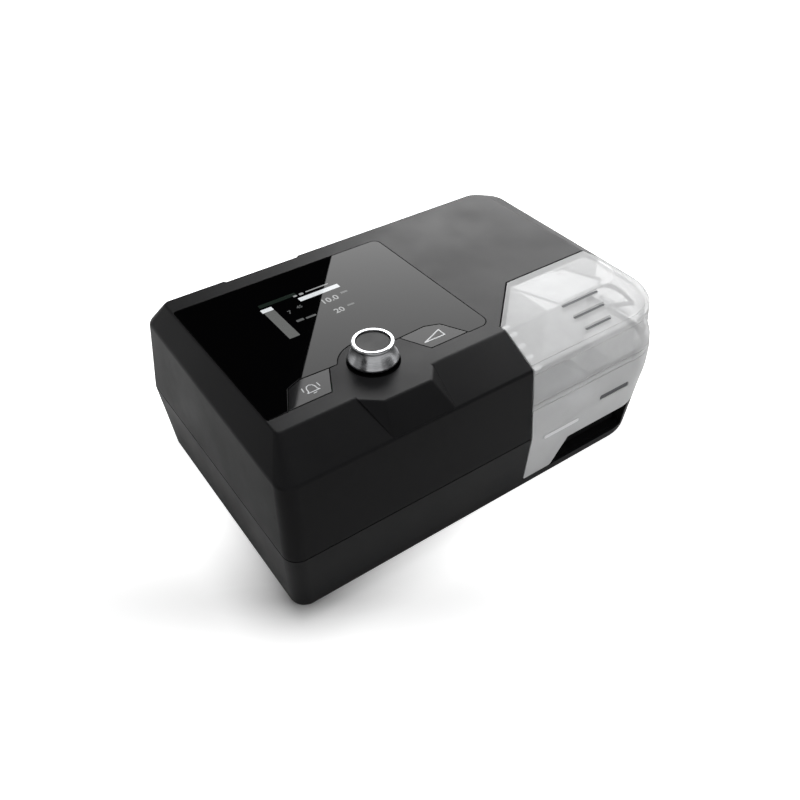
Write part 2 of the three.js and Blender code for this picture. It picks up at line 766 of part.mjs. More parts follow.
function tankLid() {
  const rim = tankSeam + clearance / 2;
  let body = tankOutside.intersect(above(rim));
  body = body.subtract(tankInside.intersect(above(rim - 1)));
  [supplyPortX, returnPortX].forEach((x) => {
    body = body.subtract(lengthwise(x, portHeight, portBore, bayBack - tankGap - tankWall - 1, bayBack + 1));
  });
  for (let i = 0; i < gripCount; i += 1) {
    body = body.subtract(gripSlot(i));
  }
  [0, 2].forEach((i) => {
    const web = box(right - 1, hingeX, knuckleEdges[i + 1] + clearance, knuckleEdges[i],
      hingeZ + knuckleRadius / 3, hingeZ + knuckleRadius);
    body = body.add(knuckle(i).add(web));
  });
  return body.subtract(pinHole());
}

// Grip slots run along X down the front bevel of the lid
function gripSlot(i) {
  const run = topIn.front - creaseIn.front;
  const drop = caseHeight - creaseAt(bayLeft + gripStart, front);
  const y = front + topIn.front - gripWidth / 2 - i * gripPitch;
  const z = caseHeight - (drop * Math.max(front + topIn.front - y, 0)) / run;
  const x0 = bayLeft + gripStart + i * gripStep;
  const length = gripLength - 2 * i * gripStep;
  return box(x0, x0 + length, y - gripWidth / 2, y + gripWidth / 2, z - gripDepth, z + 5);
}

function lidGasket() {
  const ring = (margin) => hollow(tankWall + margin, floorZ, lidRoof)
    .intersect(prism(bayPlan(-tankGap - tankWall - margin), 0, far));
  const band = box(-far, far, -far, far, tankSeam - gasket.below, tankSeam + gasket.above);
  return ring(clearance).subtract(ring(clearance + gasket.width)).intersect(band);
}

// Open-bottomed channel under the lid that turns the incoming air down to the water
function airGuide() {
  const x0 = supplyPortX - portBore - guide.margin;
  const x1 = returnPortX - portBore - guide.margin;
  const y1 = bayBack - tankGap - tankWall - clearance;
  const y0 = y1 - guide.depth;
  const z0 = tankSeam + guide.lift;
  const z1 = caseHeight - lidRoof - clearance;
  return box(x0, x1, y0, y1, z0, z1)
    .subtract(box(x0 + guide.sheet, x1 - guide.sheet, y0 + guide.sheet, y1 + 1, z0 - 1, z1 - guide.sheet));
}

const tankPlate = () => tankPlateBlock(0, tubBottom, tubBottom + tankPlateThickness);

const hingePin = () => lengthwise(hingeX, hingeZ, pinRadius, knuckleEdges[3] + clearance, hingeBack, 12);

// Rubber face seal in the bay wall, round one air port
function portSeal(x) {
  const outer = lengthwise(x, portHeight, portBore + sealWall, bayBack - sealProud, bayBack + wall + 1);
  return outer.subtract(lengthwise(x, portHeight, portBore, bayBack - 5, bayBack + wall + 5));
}

// Display side
const panelTop = ceilingZ - clearance;
const displayBoardTop = panelTop - panelThickness - clearance;
const displayBoardBottom = displayBoardTop - boardThickness;

const displayGlass = () => glassBody(0, caseHeight - glassThickness, caseHeight);
const displayPanel = () => screenBlock(-1, panelTop - panelThickness, panelTop);

function displayBoard() {
  return box(knobX - keyOuterTip, knobX + keyOuterTip, glassFront, screenBack + displayBoardMargin,
    displayBoardBottom, displayBoardTop);
}

const switchTop = displayBoardTop + clearance + switchHeight;
const keyBottom = caseHeight - keyThickness;

function keySwitch(side) {
  const [x, y] = keyCentre(side);
  const half = switchSize / 2;
  return box(x - half, x + half, y - half, y + half, displayBoardTop + clearance, switchTop);
}

function key(side) {
  const [x, y] = keyCentre(side);
  const cap = prism(keyOutline(side, -keyGap), keyBottom, caseHeight);
  return cap.add(upright(x, y, keyStemRadius, switchTop + keyTravel + clearance, keyBottom + 1, 16));
}

const encoderTop = ceilingZ - clearance;
const plungerBottom = displayBoardTop + clearance + knobTravel;
const plungerTop = plungerBottom + plungerLength;

function encoderBody() {
  const half = encoderSize / 2;
  return box(knobX - half, knobX + half, knobY - half, knobY + half, displayBoardTop + clearance, encoderTop)
    .subtract(shaftHole());
}

const encoderPlunger = () => upright(knobX, knobY, knobShaftRadius, plungerBottom, plungerTop, 20);

const knobBase = caseHeight + knobUnderGap;
const knobTop = caseHeight + knobTopHeight;
const knobSeat = knobTop - knobSeatDepth;
const ringBottom = knobTop - knobRingHeight;

const shaftHole = () => upright(knobX, knobY, knobShaftRadius + clearance, 0, far, 20);

function knobSkirt() {
  return turned([
    [0, knobBase], [knobSkirtRadius - skirtRound, knobBase],
    [knobSkirtRadius - skirtRound / 4, knobBase + skirtRound / 3],
    [knobSkirtRadius, knobBase + skirtRound], [knobSkirtRadius - skirtRound / 2, knobBase + skirtRound * 1.6],
    [knobWaistRadius + skirtShoulder.out, knobBase + skirtShoulder.height],
    [knobWaistRadius, ringBottom - clearance], [0, ringBottom - clearance],
  ], knobX, knobY, 48).subtract(shaftHole());
}

function knobRing() {
  return turned([
    [0, ringBottom], [knobRingRadius - knobEdge, ringBottom], [knobRingRadius, ringBottom + knobEdge],
    [knobRingRadius - knobEdge / 2, knobTop - knobEdge], [knobRingRadius - 2 * knobEdge, knobTop],
    [knobCapRadius + knobRimWidth, knobTop - knobEdge / 5],
    [knobCapRadius + clearance, knobSeat], [0, knobSeat],
  ], knobX, knobY, 48).subtract(shaftHole());
}

const knobCap = () => upright(knobX, knobY, knobCapRadius, knobSeat + clearance, knobTop - knobCapSink, 40);

const knobShaft = () => upright(knobX, knobY, knobShaftRadius, plungerTop + clearance / 2, knobSeat, 20);

// Blower: a spiral housing in two halves, impeller, motor and mounts
const voluteSplit = (voluteBottom + voluteTop) / 2;
const pipeRadius = portBore + pipeWall;
const nozzleBore = nozzleRadius - nozzleWall;
const pipeEnd = bayBack + wall + 1 + clearance;

function voluteForm(shrink, z0, z1) {
  const steps = 36;
  const points = Array.from({ length: steps }, (_, i) => {
    const turn = i / steps;
    const radius = voluteSmall + voluteGrowth * turn - shrink;
    const angle = -turn * Math.PI * 2;
    return [blowerX + radius * Math.cos(angle), blowerY + radius * Math.sin(angle)];
  }).reverse();
  return prism(points, z0, z1);
}

function voluteBody() {
  const outer = voluteForm(0, voluteBottom, voluteTop)
    .add(lengthwise(supplyPortX, portHeight, pipeRadius, pipeEnd, blowerY))
    .add(upright(blowerX, blowerY, nozzleRadius, voluteBottom - nozzleLength, voluteBottom + 1));
  const inner = voluteForm(voluteWall, voluteBottom + voluteWall, voluteTop - voluteWall)
    .add(lengthwise(supplyPortX, portHeight, portBore, pipeEnd - 1, blowerY))
    .add(upright(blowerX, blowerY, nozzleBore, voluteBottom - nozzleLength - 1, voluteBottom + 5))
    .add(upright(blowerX, blowerY, shaftRadius + clearance, voluteBottom, voluteTop + 1, 16));
  return outer.subtract(inner);
}

const blowerLower = () => voluteBody().intersect(below(voluteSplit - clearance / 2));
const blowerUpper = () => voluteBody().intersect(above(voluteSplit + clearance / 2));

const impellerBottom = voluteBottom + voluteWall + impellerGap;
const impellerTop = voluteTop - voluteWall - impellerGap;

function impeller() {
  const hub = upright(blowerX, blowerY, hubRadius, impellerBottom, impellerTop);
  let body = upright(blowerX, blowerY, impellerRadius, impellerTop - 1.5, impellerTop, 40).add(hub);
  for (let i = 0; i < bladeCount; i += 1) {
    const height = impellerTop - impellerBottom - 0.5;
    const blade = new THREE.BoxGeometry(impellerRadius - hubRadius + 1, bladeThickness, height)
      .translate((impellerRadius + hubRadius - 1.4) / 2, 0, impellerBottom + height / 2)
      .rotateZ((i / bladeCount) * Math.PI * 2)
      .translate(blowerX, blowerY, 0);
    body = body.add(solid(blade));
  }
  return body.subtract(upright(blowerX, blowerY, shaftRadius + clearance / 3, 0, far, 16));
}

const motorBottom = voluteTop + clearance;
const motorTop = motorBottom + motorHeight;
const shaftHoleTop = motorTop - motorLid;

function motor() {
  return upright(blowerX, blowerY, motorRadius, motorBottom, motorTop, 32)
    .subtract(upright(blowerX, blowerY, shaftRadius + clearance, motorBottom - 1, shaftHoleTop, 16));
}

const motorShaft = () => upright(blowerX, blowerY, shaftRadius, impellerBottom, shaftHoleTop - clearance, 16);

const blowerMount = ([x, y]) => upright(x, y, mountRadius,
  mountFoot + clearance, voluteBottom - clearance, 16);

// Inlet side: filter cover, filter, muffler box with foam, duct under the blower
function backSkin() {
  const behind = solid(loft(outerLevels()).translate(0, -coverThickness, 0));
  return shellOutside.subtract(behind);
}

const coverPivotZ = filterBottom + doorPivot + clearance;
const coverPivotY = backWallY(coverPivotZ) - doorPivot - pivotSink;

function filterCover() {
  let body = backSkin().intersect(filterCutout(clearance)).intersect(above(coverPivotZ));
  body = body.add(crosswise(coverPivotY, coverPivotZ, doorPivot,
    filterLeft + clearance, filterRight - clearance));
  const pitch = (filterTop - filterBottom) / (louvreCount + 2);
  for (let i = 0; i < louvreCount; i += 1) {
    const z = filterBottom + pitch * (i + 1.5);
    body = body.subtract(box(filterLeft + louvreMargin, filterRight - louvreMargin, 0, far,
      z, z + louvreHeight));
  }
  return body;
}

const mufflerLeft = filterLeft - mufflerMargin;
const mufflerRight = filterRight + mufflerMargin;
const mufflerTop = displayBoardBottom - clearance;
const mufflerBack = back - creaseIn.back - wall - 1;
const mufflerFront = mufflerBack - mufflerDepth;
const filterFront = mufflerBack - filterThickness - filterRecess;
const ductTop = voluteBottom - nozzleLength - clearance;
const ductBottom = mufflerBottom + 2;
const mufflerPosts = [
  [mufflerLeft + mufflerPostIn, mufflerFront + mufflerPostSetback],
  [mufflerRight - mufflerPostSetback, mufflerFront + mufflerPostSetback],
  [mufflerRight - mufflerPostIn, mufflerBack - mufflerPostSetback],
];

function mufflerBox() {
  const outer = box(mufflerLeft, mufflerRight, mufflerFront, mufflerBack, mufflerBottom, mufflerTop);
  const room = box(mufflerLeft + wall, mufflerRight - wall, mufflerFront + wall, far,
    mufflerBottom + wall, mufflerTop - wall);
  const seat = box(mufflerLeft, mufflerRight, filterFront - 2 - clearance, filterFront - clearance,
    mufflerBottom, mufflerTop).subtract(box(filterLeft + 3, filterRight - 3, -far, far, filterBottom + 3,
    filterTop - 6));
  const mouth = box(mufflerRight - wall - 1, mufflerRight + 1, blowerY + 2, blowerY + ductHalf - wall,
    ductBottom + wall, ductTop - wall);
  return outer.subtract(room).add(seat).subtract(mouth);
}

const ductHalf = 16;
const mufflerFoam = () => box(mufflerLeft + wall + clearance, mufflerRight - wall - clearance,
  mufflerFront + wall + clearance, filterFront - 2 - 2 * clearance, ductTop, mufflerTop - wall - clearance);
const filterPad = () => box(mufflerLeft + wall + clearance, mufflerRight - wall - clearance,
  filterFront, filterFront + filterThickness, mufflerBottom + wall + clearance, mufflerTop - wall - clearance);

function inletDuct() {
  const x0 = mufflerRight + clearance;
  const x1 = blowerX + nozzleRadius + 4;
  const outer = box(x0, x1, blowerY - ductHalf, blowerY + ductHalf, ductBottom, ductTop);
  const inner = box(x0 - 1, x1 - wall, blowerY - ductHalf + wall, blowerY + ductHalf - wall,
    ductBottom + wall, ductTop - wall);
  return outer.subtract(inner).subtract(upright(blowerX, blowerY, nozzleBore, ductTop - 5, ductTop + 1));
}

// Outlet side: duct from the bay wall down to the port at the back
const portInnerY = back - creaseIn.back - wall - outletFlange - 2;

function tubeAlong(points, outer, inner, steps) {
  const shape = round(outer, 16);
  shape.holes.push(round(inner, 16));
  const path = new THREE.CatmullRomCurve3(points.map(([x, y, z]) => new THREE.Vector3(x, y, z)));
  return solid(new THREE.ExtrudeGeometry(shape, { steps, extrudePath: path, bevelEnabled: false }));
}

function outletDuct() {
  const y0 = bayBack + wall + 1 + clearance;
  const y1 = portInnerY - clearance;
  return tubeAlong([
    [outletX, y0, portHeight], [outletX, y0 + 20, portHeight],
    [outletX, y1 - 20, outletHeight], [outletX, y1, outletHeight],
  ], portBore + ductWall, portBore, 16);
}

function outletPort() {
  const end = back + portReach;
  const flangeRadius = outletRadius + outletFlangeRim;
  const tube = lengthwise(outletX, outletHeight, outletRadius, portInnerY + 0.5, end, 40);
  const flange = lengthwise(outletX, outletHeight, flangeRadius, portInnerY, portInnerY + outletFlange, 40);
  return tube.add(flange).subtract(lengthwise(outletX, outletHeight, outletBore, portInnerY - 1, end + 1, 32));
}

function flowSensor() {
  const z0 = portHeight + portBore + ductWall + 3 * clearance;
  const y0 = bayBack + wall + sensorSize.setback;
  return box(outletX - sensorSize.width / 2, outletX + sensorSize.width / 2, y0, y0 + sensorSize.depth,
    z0, z0 + sensorSize.height);
}

// Main board and what is soldered to it
const mainBoardBack = backWallY(mainBoardHeight) - wall - boardMargin;
const boardPosts = [
  [mainBoardLeft + boardPostIn, mainBoardFront + boardPostIn],
  [mainBoardRight - boardPostIn, mainBoardFront + boardPostIn],
  [mainBoardLeft + boardPostIn, mainBoardBack - boardPostFromBack],
  [mainBoardRight - boardPostIn, mainBoardBack - boardPostFromBack],
];

const mainBoard = () => box(mainBoardLeft, mainBoardRight, mainBoardFront, mainBoardBack,
  mainBoardHeight, mainBoardHeight + boardThickness);
const onBoard = mainBoardHeight + boardThickness + clearance;
const inletCutout = (grow) => box(inletX - inletWidth / 2 - grow, inletX + inletWidth / 2 + grow, 0, far,
  onBoard - grow, onBoard + inletHeight + grow);

function powerInlet() {
  const face = backWallY(onBoard) - 0.5;
  const half = inletWidth / 2;
  const end = face - socketDepth;
  const shell = box(inletX - half, inletX + half, end - inletRim, face, onBoard, onBoard + inletHeight);
  const socket = box(inletX - half + inletRim, inletX + half - inletRim, end, far,
    onBoard + inletRim, onBoard + inletHeight - inletRim);
  let body = shell.subtract(socket);
  [-1, 0, 1].forEach((side) => {
    const x = inletX + side * pinPitch - pinSize / 2;
    const z = onBoard + (inletHeight - pinSize) / 2;
    body = body.add(box(x, x + pinSize, end - 1, end - 1 + pinLength, z, z + pinSize));
  });
  return body;
}

const doorTop = onBoard + cardHeight;
const doorPivotZ = doorTop - doorPivot - clearance;
const doorPivotY = backWallY(doorPivotZ) - doorPivot - pivotSink;
const doorHalf = cardWidth / 2 + cardDoorMargin;
const doorCutout = (shrink) => box(cardX - doorHalf + shrink, cardX + doorHalf - shrink,
  mainBoardBack, far, onBoard - 1 + shrink, doorTop - shrink);

function cardDoor() {
  const skin = backSkin().intersect(doorCutout(clearance)).intersect(below(doorPivotZ));
  return skin.add(crosswise(doorPivotY, doorPivotZ, doorPivot, cardX - doorHalf + clearance,
    cardX + doorHalf - clearance));
}

function cardSocket() {
  const face = mainBoardBack - card.setback;
  return box(cardX - cardWidth / 2, cardX + cardWidth / 2, face - card.depth - 2, face,
    onBoard, onBoard + card.socketHeight)
    .subtract(box(cardX - card.width / 2, cardX + card.width / 2, face - card.depth, far,
      onBoard + card.above, onBoard + card.above + card.thickness));
}

const buzzer = () => upright(mainBoardLeft + buzzerPlace.in, mainBoardFront + buzzerPlace.setback,
  buzzerPlace.radius, onBoard, onBoard + buzzerPlace.height);

// Feet and screws
const foot = ([x, y]) => upright(x, y, footRadius, 0, footHeight + footSink - clearance, 32);

function caseScrew([x, y]) {
  const headBottom = footHeight + screwHeadSink;
  const headTop = floorZ + screwHeadSeat - clearance;
  const end = seamHeight + seamGap / 2 + screwReach;
  return upright(x, y, screwHeadRadius, headBottom, headTop, 16)
    .add(upright(x, y, screwRadius, headTop - 1, end, 12))
    .subtract(box(x - screwRadius, x + screwRadius, y - screwSlotWidth / 2, y + screwSlotWidth / 2,
      headBottom - 1, headBottom + screwSlotWidth));
}

const machine = new THREE.Group();
machine.name = "cpap_machine";

function add(name, body, material) {
  machine.add(piece(name, body, material));
}

add("upper_case", upperCase(), blackPlastic);
add("lower_case", lowerCase(), blackPlastic);
add("bay_wall", bayWall(), blackPlastic);
add("heater_deck", heaterDeck(), blackPlastic);
add("display_glass", displayGlass(), blackGlass);
add("display_panel", displayPanel(), greyPlastic);
add("display_board", displayBoard(), boardGreen);
add("alarm_key", key(-1), blackPlastic);
add("ramp_key", key(1), blackPlastic);
add("alarm_switch", keySwitch(-1), greyPlastic);
add("ramp_switch", keySwitch(1), greyPlastic);
add("encoder_body", encoderBody(), greyPlastic);
add("encoder_plunger", encoderPlunger(), steel);
add("knob_shaft", knobShaft(), steel);
add("knob_skirt", knobSkirt(), silver);
add("knob_ring", knobRing(), silver);
add("knob_cap", knobCap(), blackPlastic);
add("tank_tub", tankTub(), frostedPlastic);
add("tank_lid", tankLid(), frostedPlastic);
add("lid_gasket", lidGasket(), rubber);
add("lid_air_guide", airGuide(), frostedPlastic);
add("tank_plate", tankPlate(), steel);
add("hinge_pin", hingePin(), steel);
add("supply_seal", portSeal(supplyPortX), rubber);
add("return_seal", portSeal(returnPortX), rubber);
add("heater_plate", heaterPlate(), steel);
add("heater_tray", heaterTray(), whitePlastic);
springPlaces.forEach((place, i) => add(`heater_spring_${i + 1}`, heaterSpring(place), steel));
add("blower_lower_housing", blowerLower(), whitePlastic);
add("blower_upper_housing", blowerUpper(), whitePlastic);
add("impeller", impeller(), whitePlastic);
add("motor_shaft", motorShaft(), steel);
add("motor", motor(), steel);
mountPlaces.forEach((place, i) => add(`blower_mount_${i + 1}`, blowerMount(place), rubber));
add("filter_cover", filterCover(), blackPlastic);
add("filter_pad", filterPad(), foam);
add("muffler_box", mufflerBox(), greyPlastic);
add("muffler_foam", mufflerFoam(), foam);
add("inlet_duct", inletDuct(), greyPlastic);
add("outlet_duct", outletDuct(), greyPlastic);
add("outlet_port", outletPort(), greyPlastic);
add("flow_sensor", flowSensor(), whitePlastic);
add("main_board", mainBoard(), boardGreen);
add("power_inlet", powerInlet(), greyPlastic);
add("card_socket", cardSocket(), steel);
add("card_door", cardDoor(), rubber);
add("buzzer", buzzer(), blackPlastic);
feetPlaces.forEach((place, i) => add(`foot_${i + 1}`, foot(place), rubber));
screwPlaces.forEach((place, i) => add(`case_screw_${i + 1}`, caseScrew(place), steel));

export default machine;
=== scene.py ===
"""Looks of a bedside breathing machine with a water tank at its right front corner."""
import json
import math

import bmesh
import bpy
import numpy as np
from mathutils import Matrix, Vector


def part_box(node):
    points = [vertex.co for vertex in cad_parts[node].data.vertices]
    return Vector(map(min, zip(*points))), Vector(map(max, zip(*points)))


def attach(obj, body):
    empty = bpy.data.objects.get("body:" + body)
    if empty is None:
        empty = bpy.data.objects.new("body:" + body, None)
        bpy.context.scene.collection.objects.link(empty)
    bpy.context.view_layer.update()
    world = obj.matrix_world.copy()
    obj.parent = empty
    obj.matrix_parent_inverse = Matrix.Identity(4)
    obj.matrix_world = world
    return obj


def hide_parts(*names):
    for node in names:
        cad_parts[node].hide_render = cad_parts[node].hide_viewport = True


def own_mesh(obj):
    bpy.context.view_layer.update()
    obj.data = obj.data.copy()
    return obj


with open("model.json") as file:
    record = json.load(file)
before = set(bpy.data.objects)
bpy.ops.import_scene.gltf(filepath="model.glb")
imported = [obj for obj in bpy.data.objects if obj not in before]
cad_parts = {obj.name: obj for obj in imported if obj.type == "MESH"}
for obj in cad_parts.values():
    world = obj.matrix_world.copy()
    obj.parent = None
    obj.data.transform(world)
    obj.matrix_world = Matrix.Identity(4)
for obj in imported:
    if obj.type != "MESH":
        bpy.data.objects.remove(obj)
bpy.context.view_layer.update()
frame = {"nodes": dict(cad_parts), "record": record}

nodes = frame["nodes"]

# ---------------------------------------------------------------- sizes in millimetres, as the solids have them
CASE_WIDTH, CASE_DEPTH, CASE_HEIGHT = 265.0, 178.0, 102.5
LEFT, FRONT = -135.05, -97.0
RIGHT, BACK = LEFT + CASE_WIDTH, FRONT + CASE_DEPTH
FOOT_HEIGHT, SEAM, SEAM_GAP, CASE_LIP = 1.5, 44.0, 0.4, 0.35
BOTTOM_ROUND, BOTTOM_SPREAD = 2.0, 0.8
WALL_START = FOOT_HEIGHT + BOTTOM_ROUND
NO_INSET = dict(left=0, right=0, front=0, back=0)
BOTTOM_IN = dict(left=2, right=3, front=4, back=10)
CREASE_IN = dict(left=3, right=0, front=4.5, back=4.5, pinch=2)
TOP_IN = dict(left=15, right=16.5, front=29, back=12)
BEVEL_TOP = FRONT + TOP_IN["front"]
# One value for each corner: front left, front right, back right, back left
CREASE_DROPS = (13.0, 12.0, 7.5, 11.5)
SEAM_RADII = (9.0, 33.0, 15.0, 8.0)
TOP_RADII = (3.0, 18.0, 12.0, 4.0)
ARC_STEPS = (12, 28, 14, 12)
RUN_STEPS = (14, 8, 14, 8)  # front, right, back, left
SMALLEST_RADIUS = 0.8
WALL, TOP_WALL, FLOOR = 2.5, 3.0, FOOT_HEIGHT + 3.0
INNER_CREASE_DROP, INNER_TOP_MARGIN = 0.55, 0.6
BAY_LEFT, BAY_BACK, BAY_CUT = 19.95, -31.5, 32.0
DECK = 27.0
TANK_SEAM, TANK_GAP, TANK_WALL, TANK_LIP, TANK_ROOF = 63.0, 0.5, 2.4, 0.5, 2.4
# How far the tank's corner bulges, and at which share of the height up to its seam and on up to the crease
BULGE_BELOW = ((1.2, 0.21), (2.2, 0.58), (2.6, 1.0))
BULGE_ABOVE = ((2.2, 0.25), (1.0, 0.4), (0.0, 0.51))
KNOB = (-52.05, -48.0)
GLASS = dict(left=-119.05, right=18.45, front=-57.3, back=55.8)
GLASS_GAP, GLASS_THICK, GLASS_ROUND = 0.35, 1.3, 0.22
KEY_TIP, KEY_GAP, KEY_STEM = 55.5, 0.35, 39.25
FILTER = dict(left=-81.05, right=-32.05, low=52.0, high=88.0)
DOOR_THICK, PIVOT_RADIUS = 2.2, 1.1
COVER_PIVOT, DOOR_PIVOT = (78.865, 53.4), (74.194, 21.5)
PORT_X, PORT_Z, PORT_END, PORT_HOLE = 96.95, 58.0, BACK + 16, 11.3
SEAL_X, SEAL_Z = (64.95, 96.95), 76.0
HINGE_X, HINGE_BACK, KNUCKLE = 132.65, -36.0, 8.3
PLATE_AT, PLATE_SEAT, PLATE_WINDOW = (77.95, -61.0), (27.3, 21.3), (25, 19)  # a centre and two half sizes
# The lid's grips: the first one's left end and length, half their width, their depth and the way to the next
GRIP_X, GRIP_LENGTH, GRIP_HALF, GRIP_DEEP, GRIP_STEP = BAY_LEFT + 41, 28, 0.9, 1.1, 8
FEET = ((-111.05, -73.0), (-111.05, 47.0), (105.95, 47.0), (94.95, -62.0))
SCREWS = ((-120.55, -82.5), (-120.55, 66.5), (115.45, 66.5), (9.45, -82.5))
FAR = 400.0
MM = 0.001

root = bpy.context.scene.collection


# ---------------------------------------------------------------- mesh helpers
def linked(name, data):
    made = bpy.data.objects.new(name, data)
    root.objects.link(made)
    return made


def mesh_object(name, points, faces):
    mesh = bpy.data.meshes.new(name)
    mesh.from_pydata([tuple(float(v) for v in p) for p in points], [], [tuple(f) for f in faces])
    mesh.update()
    return linked(name, mesh)


def made_mesh(obj):
    """The mesh that an object's text or modifiers make."""
    bpy.context.view_layer.update()
    graph = bpy.context.evaluated_depsgraph_get()
    return bpy.data.meshes.new_from_object(obj.evaluated_get(graph), preserve_all_data_layers=True, depsgraph=graph)


def evaluated(obj):
    """Turns an object's modifiers into plain mesh."""
    mesh = made_mesh(obj)
    obj.modifiers.clear()
    old = obj.data
    obj.data = mesh
    mesh.name = obj.name
    if old.users == 0:
        bpy.data.meshes.remove(old)
    return obj


def drop(*objects):
    for obj in objects:
        mesh = obj.data
        bpy.data.objects.remove(obj)
        if mesh and mesh.users == 0:
            bpy.data.meshes.remove(mesh)


def boolean(target, others, operation):
    for other in others:
        change = target.modifiers.new("change", "BOOLEAN")
        change.solver = "MANIFOLD"
        change.operation = operation
        change.object = other
        evaluated(target)
    drop(*others)
    return target


def cut(target, *others):
    return boolean(target, others, "DIFFERENCE")


def join(target, *others):
    return boolean(target, others, "UNION")


def common(target, *others):
    return boolean(target, others, "INTERSECT")


def turned(obj, angle, axis):
    obj.data.transform(Matrix.Rotation(angle, 4, axis))
    return obj


def reworked(obj, work):
    """Runs a bmesh job on an object's mesh."""
    tool = bmesh.new()
    tool.from_mesh(obj.data)
    work(tool)
    tool.to_mesh(obj.data)
    tool.free()
    return obj


def outwards(obj):
    return reworked(obj, lambda tool: bmesh.ops.recalc_face_normals(tool, faces=tool.faces))


def loft(name, rings):
    """A skin through rings of equal length, capped at both ends."""
    count = len(rings[0])
    faces = []
    for k in range(len(rings) - 1):
        for i in range(count):
            a, b = k * count + i, k * count + (i + 1) % count
            faces.append((a, b, b + count, a + count))
    faces.append(tuple(reversed(range(count))))
    faces.append(tuple(range((len(rings) - 1) * count, len(rings) * count)))
    return mesh_object(name, np.concatenate(rings), faces)


def grown(points, distance):
    """A closed outline moved outwards by a distance, mitred at its corners."""
    p = np.asarray(points, float)

    def normal(edge):
        out = np.column_stack([edge[:, 1], -edge[:, 0]])
        return out / np.maximum(np.linalg.norm(out, axis=1, keepdims=True), 1e-9)

    a, b = normal(p - np.roll(p, 1, 0)), normal(np.roll(p, -1, 0) - p)
    both = a + b
    both /= np.maximum(np.linalg.norm(both, axis=1, keepdims=True), 1e-9)
    stretch = 1 / np.clip((both * a).sum(1, keepdims=True), 0.35, 1)
    return p + both * stretch * distance


def counterclockwise(points):
    p = np.asarray(points, float)
    area = (p[:, 0] * np.roll(p[:, 1], -1) - np.roll(p[:, 0], -1) * p[:, 1]).sum()
    return p if area > 0 else p[::-1]


def rounded(points, radii, steps=8):
    """An outline with its corners rounded; radii is one number or one for each corner."""
    p = counterclockwise(points)
    count = len(p)
    if np.isscalar(radii):
        radii = [radii] * count
    made = []
    for i in range(count):
        here = p[i]
        to_last, to_next = p[i - 1] - here, p[(i + 1) % count] - here
        la, lb = np.linalg.norm(to_last), np.linalg.norm(to_next)
        to_last, to_next = to_last / la, to_next / lb
        angle = math.acos(float(np.clip(to_last @ to_next, -1, 1)))
        if radii[i] < 0.01 or angle > math.pi - 0.02:
            made.append(here)
            continue
        reach = min(radii[i] / math.tan(angle / 2), 0.48 * la, 0.48 * lb)
        a, b = here + to_last * reach, here + to_next * reach
        w = math.sin(angle / 2)
        for j in range(steps + 1):
            t = j / steps
            top = (1 - t) ** 2 * a + 2 * w * t * (1 - t) * here + t ** 2 * b
            made.append(top / ((1 - t) ** 2 + 2 * w * t * (1 - t) + t ** 2))
    return np.array(made)


def box_plan(x0, x1, y0, y1):
    return [(x0, y0), (x1, y0), (x1, y1), (x0, y1)]


def soft_box(x0, x1, y0, y1, radii, steps=8):
    return rounded(box_plan(x0, x1, y0, y1), radii, steps)


def soft_bar(half_x, half_y, radii, steps=8, x=0.0, y=0.0):
    return soft_box(x - half_x, x + half_x, y - half_y, y + half_y, radii, steps)


def circle(x, y, radius, steps=64):
    turn = np.linspace(0, 2 * math.pi, steps, endpoint=False)
    return np.column_stack([x + radius * np.cos(turn), y + radius * np.sin(turn)])


def arc(cx, cz, radius, start, end, steps=8):
    """Points of a profile arc, from and to angles in degrees."""
    return [(cx + radius * math.cos(math.radians(start + (end - start) * i / steps)),
             cz + radius * math.sin(math.radians(start + (end - start) * i / steps))) for i in range(steps + 1)]


EDGE_STEPS = 3
QUARTER = [(1 - math.cos(t), 1 - math.sin(t)) for t in (math.pi / 2 * j / EDGE_STEPS for j in range(EDGE_STEPS + 1))]


def stack(name, points, levels):
    """An outline repeated at each (offset, height)."""
    p = counterclockwise(points)
    plans = [(grown(p, offset) if offset else p, z) for offset, z in levels]
    return loft(name, [np.column_stack([q[:, 0], q[:, 1], np.full(len(q), float(z))]) for q, z in plans])


def slab(name, points, z0, z1, edge=0.0, lower_edge=0.0):
    """A plate with the given outline; edge rounds its top rim and lower_edge its bottom rim."""
    low = [(-lower_edge * b, z0 + lower_edge * a) for a, b in QUARTER] if lower_edge else [(0.0, z0)]
    high = [(-edge * a, z1 - edge * b) for a, b in QUARTER] if edge else [(0.0, z1)]
    return stack(name, points, low + high)


def pocket(name, points, z0, z1, flare, above=2.0):
    """A cutter for a pocket in a flat top at z1 whose rim it rounds by flare."""
    return stack(name, points, [(0.0, z0)] + [(flare * a, z1 - flare * b) for a, b in QUARTER]
                 + [(flare, z1 + above)])


def standing(name, plan, h0, h1, **edges):
    """A slab with its outline in x and z, from h0 to h1 in front of the middle."""
    return turned(slab(name, plan, h0, h1, **edges), math.pi / 2, "X")


def block(name, x0, x1, y0, y1, z0, z1):
    return slab(name, box_plan(x0, x1, y0, y1), z0, z1)


TURNED = {"Z": Matrix.Identity(4), "-Y": Matrix.Rotation(-math.pi / 2, 4, "X"),
          "X": Matrix.Rotation(math.pi / 2, 4, "Y")}


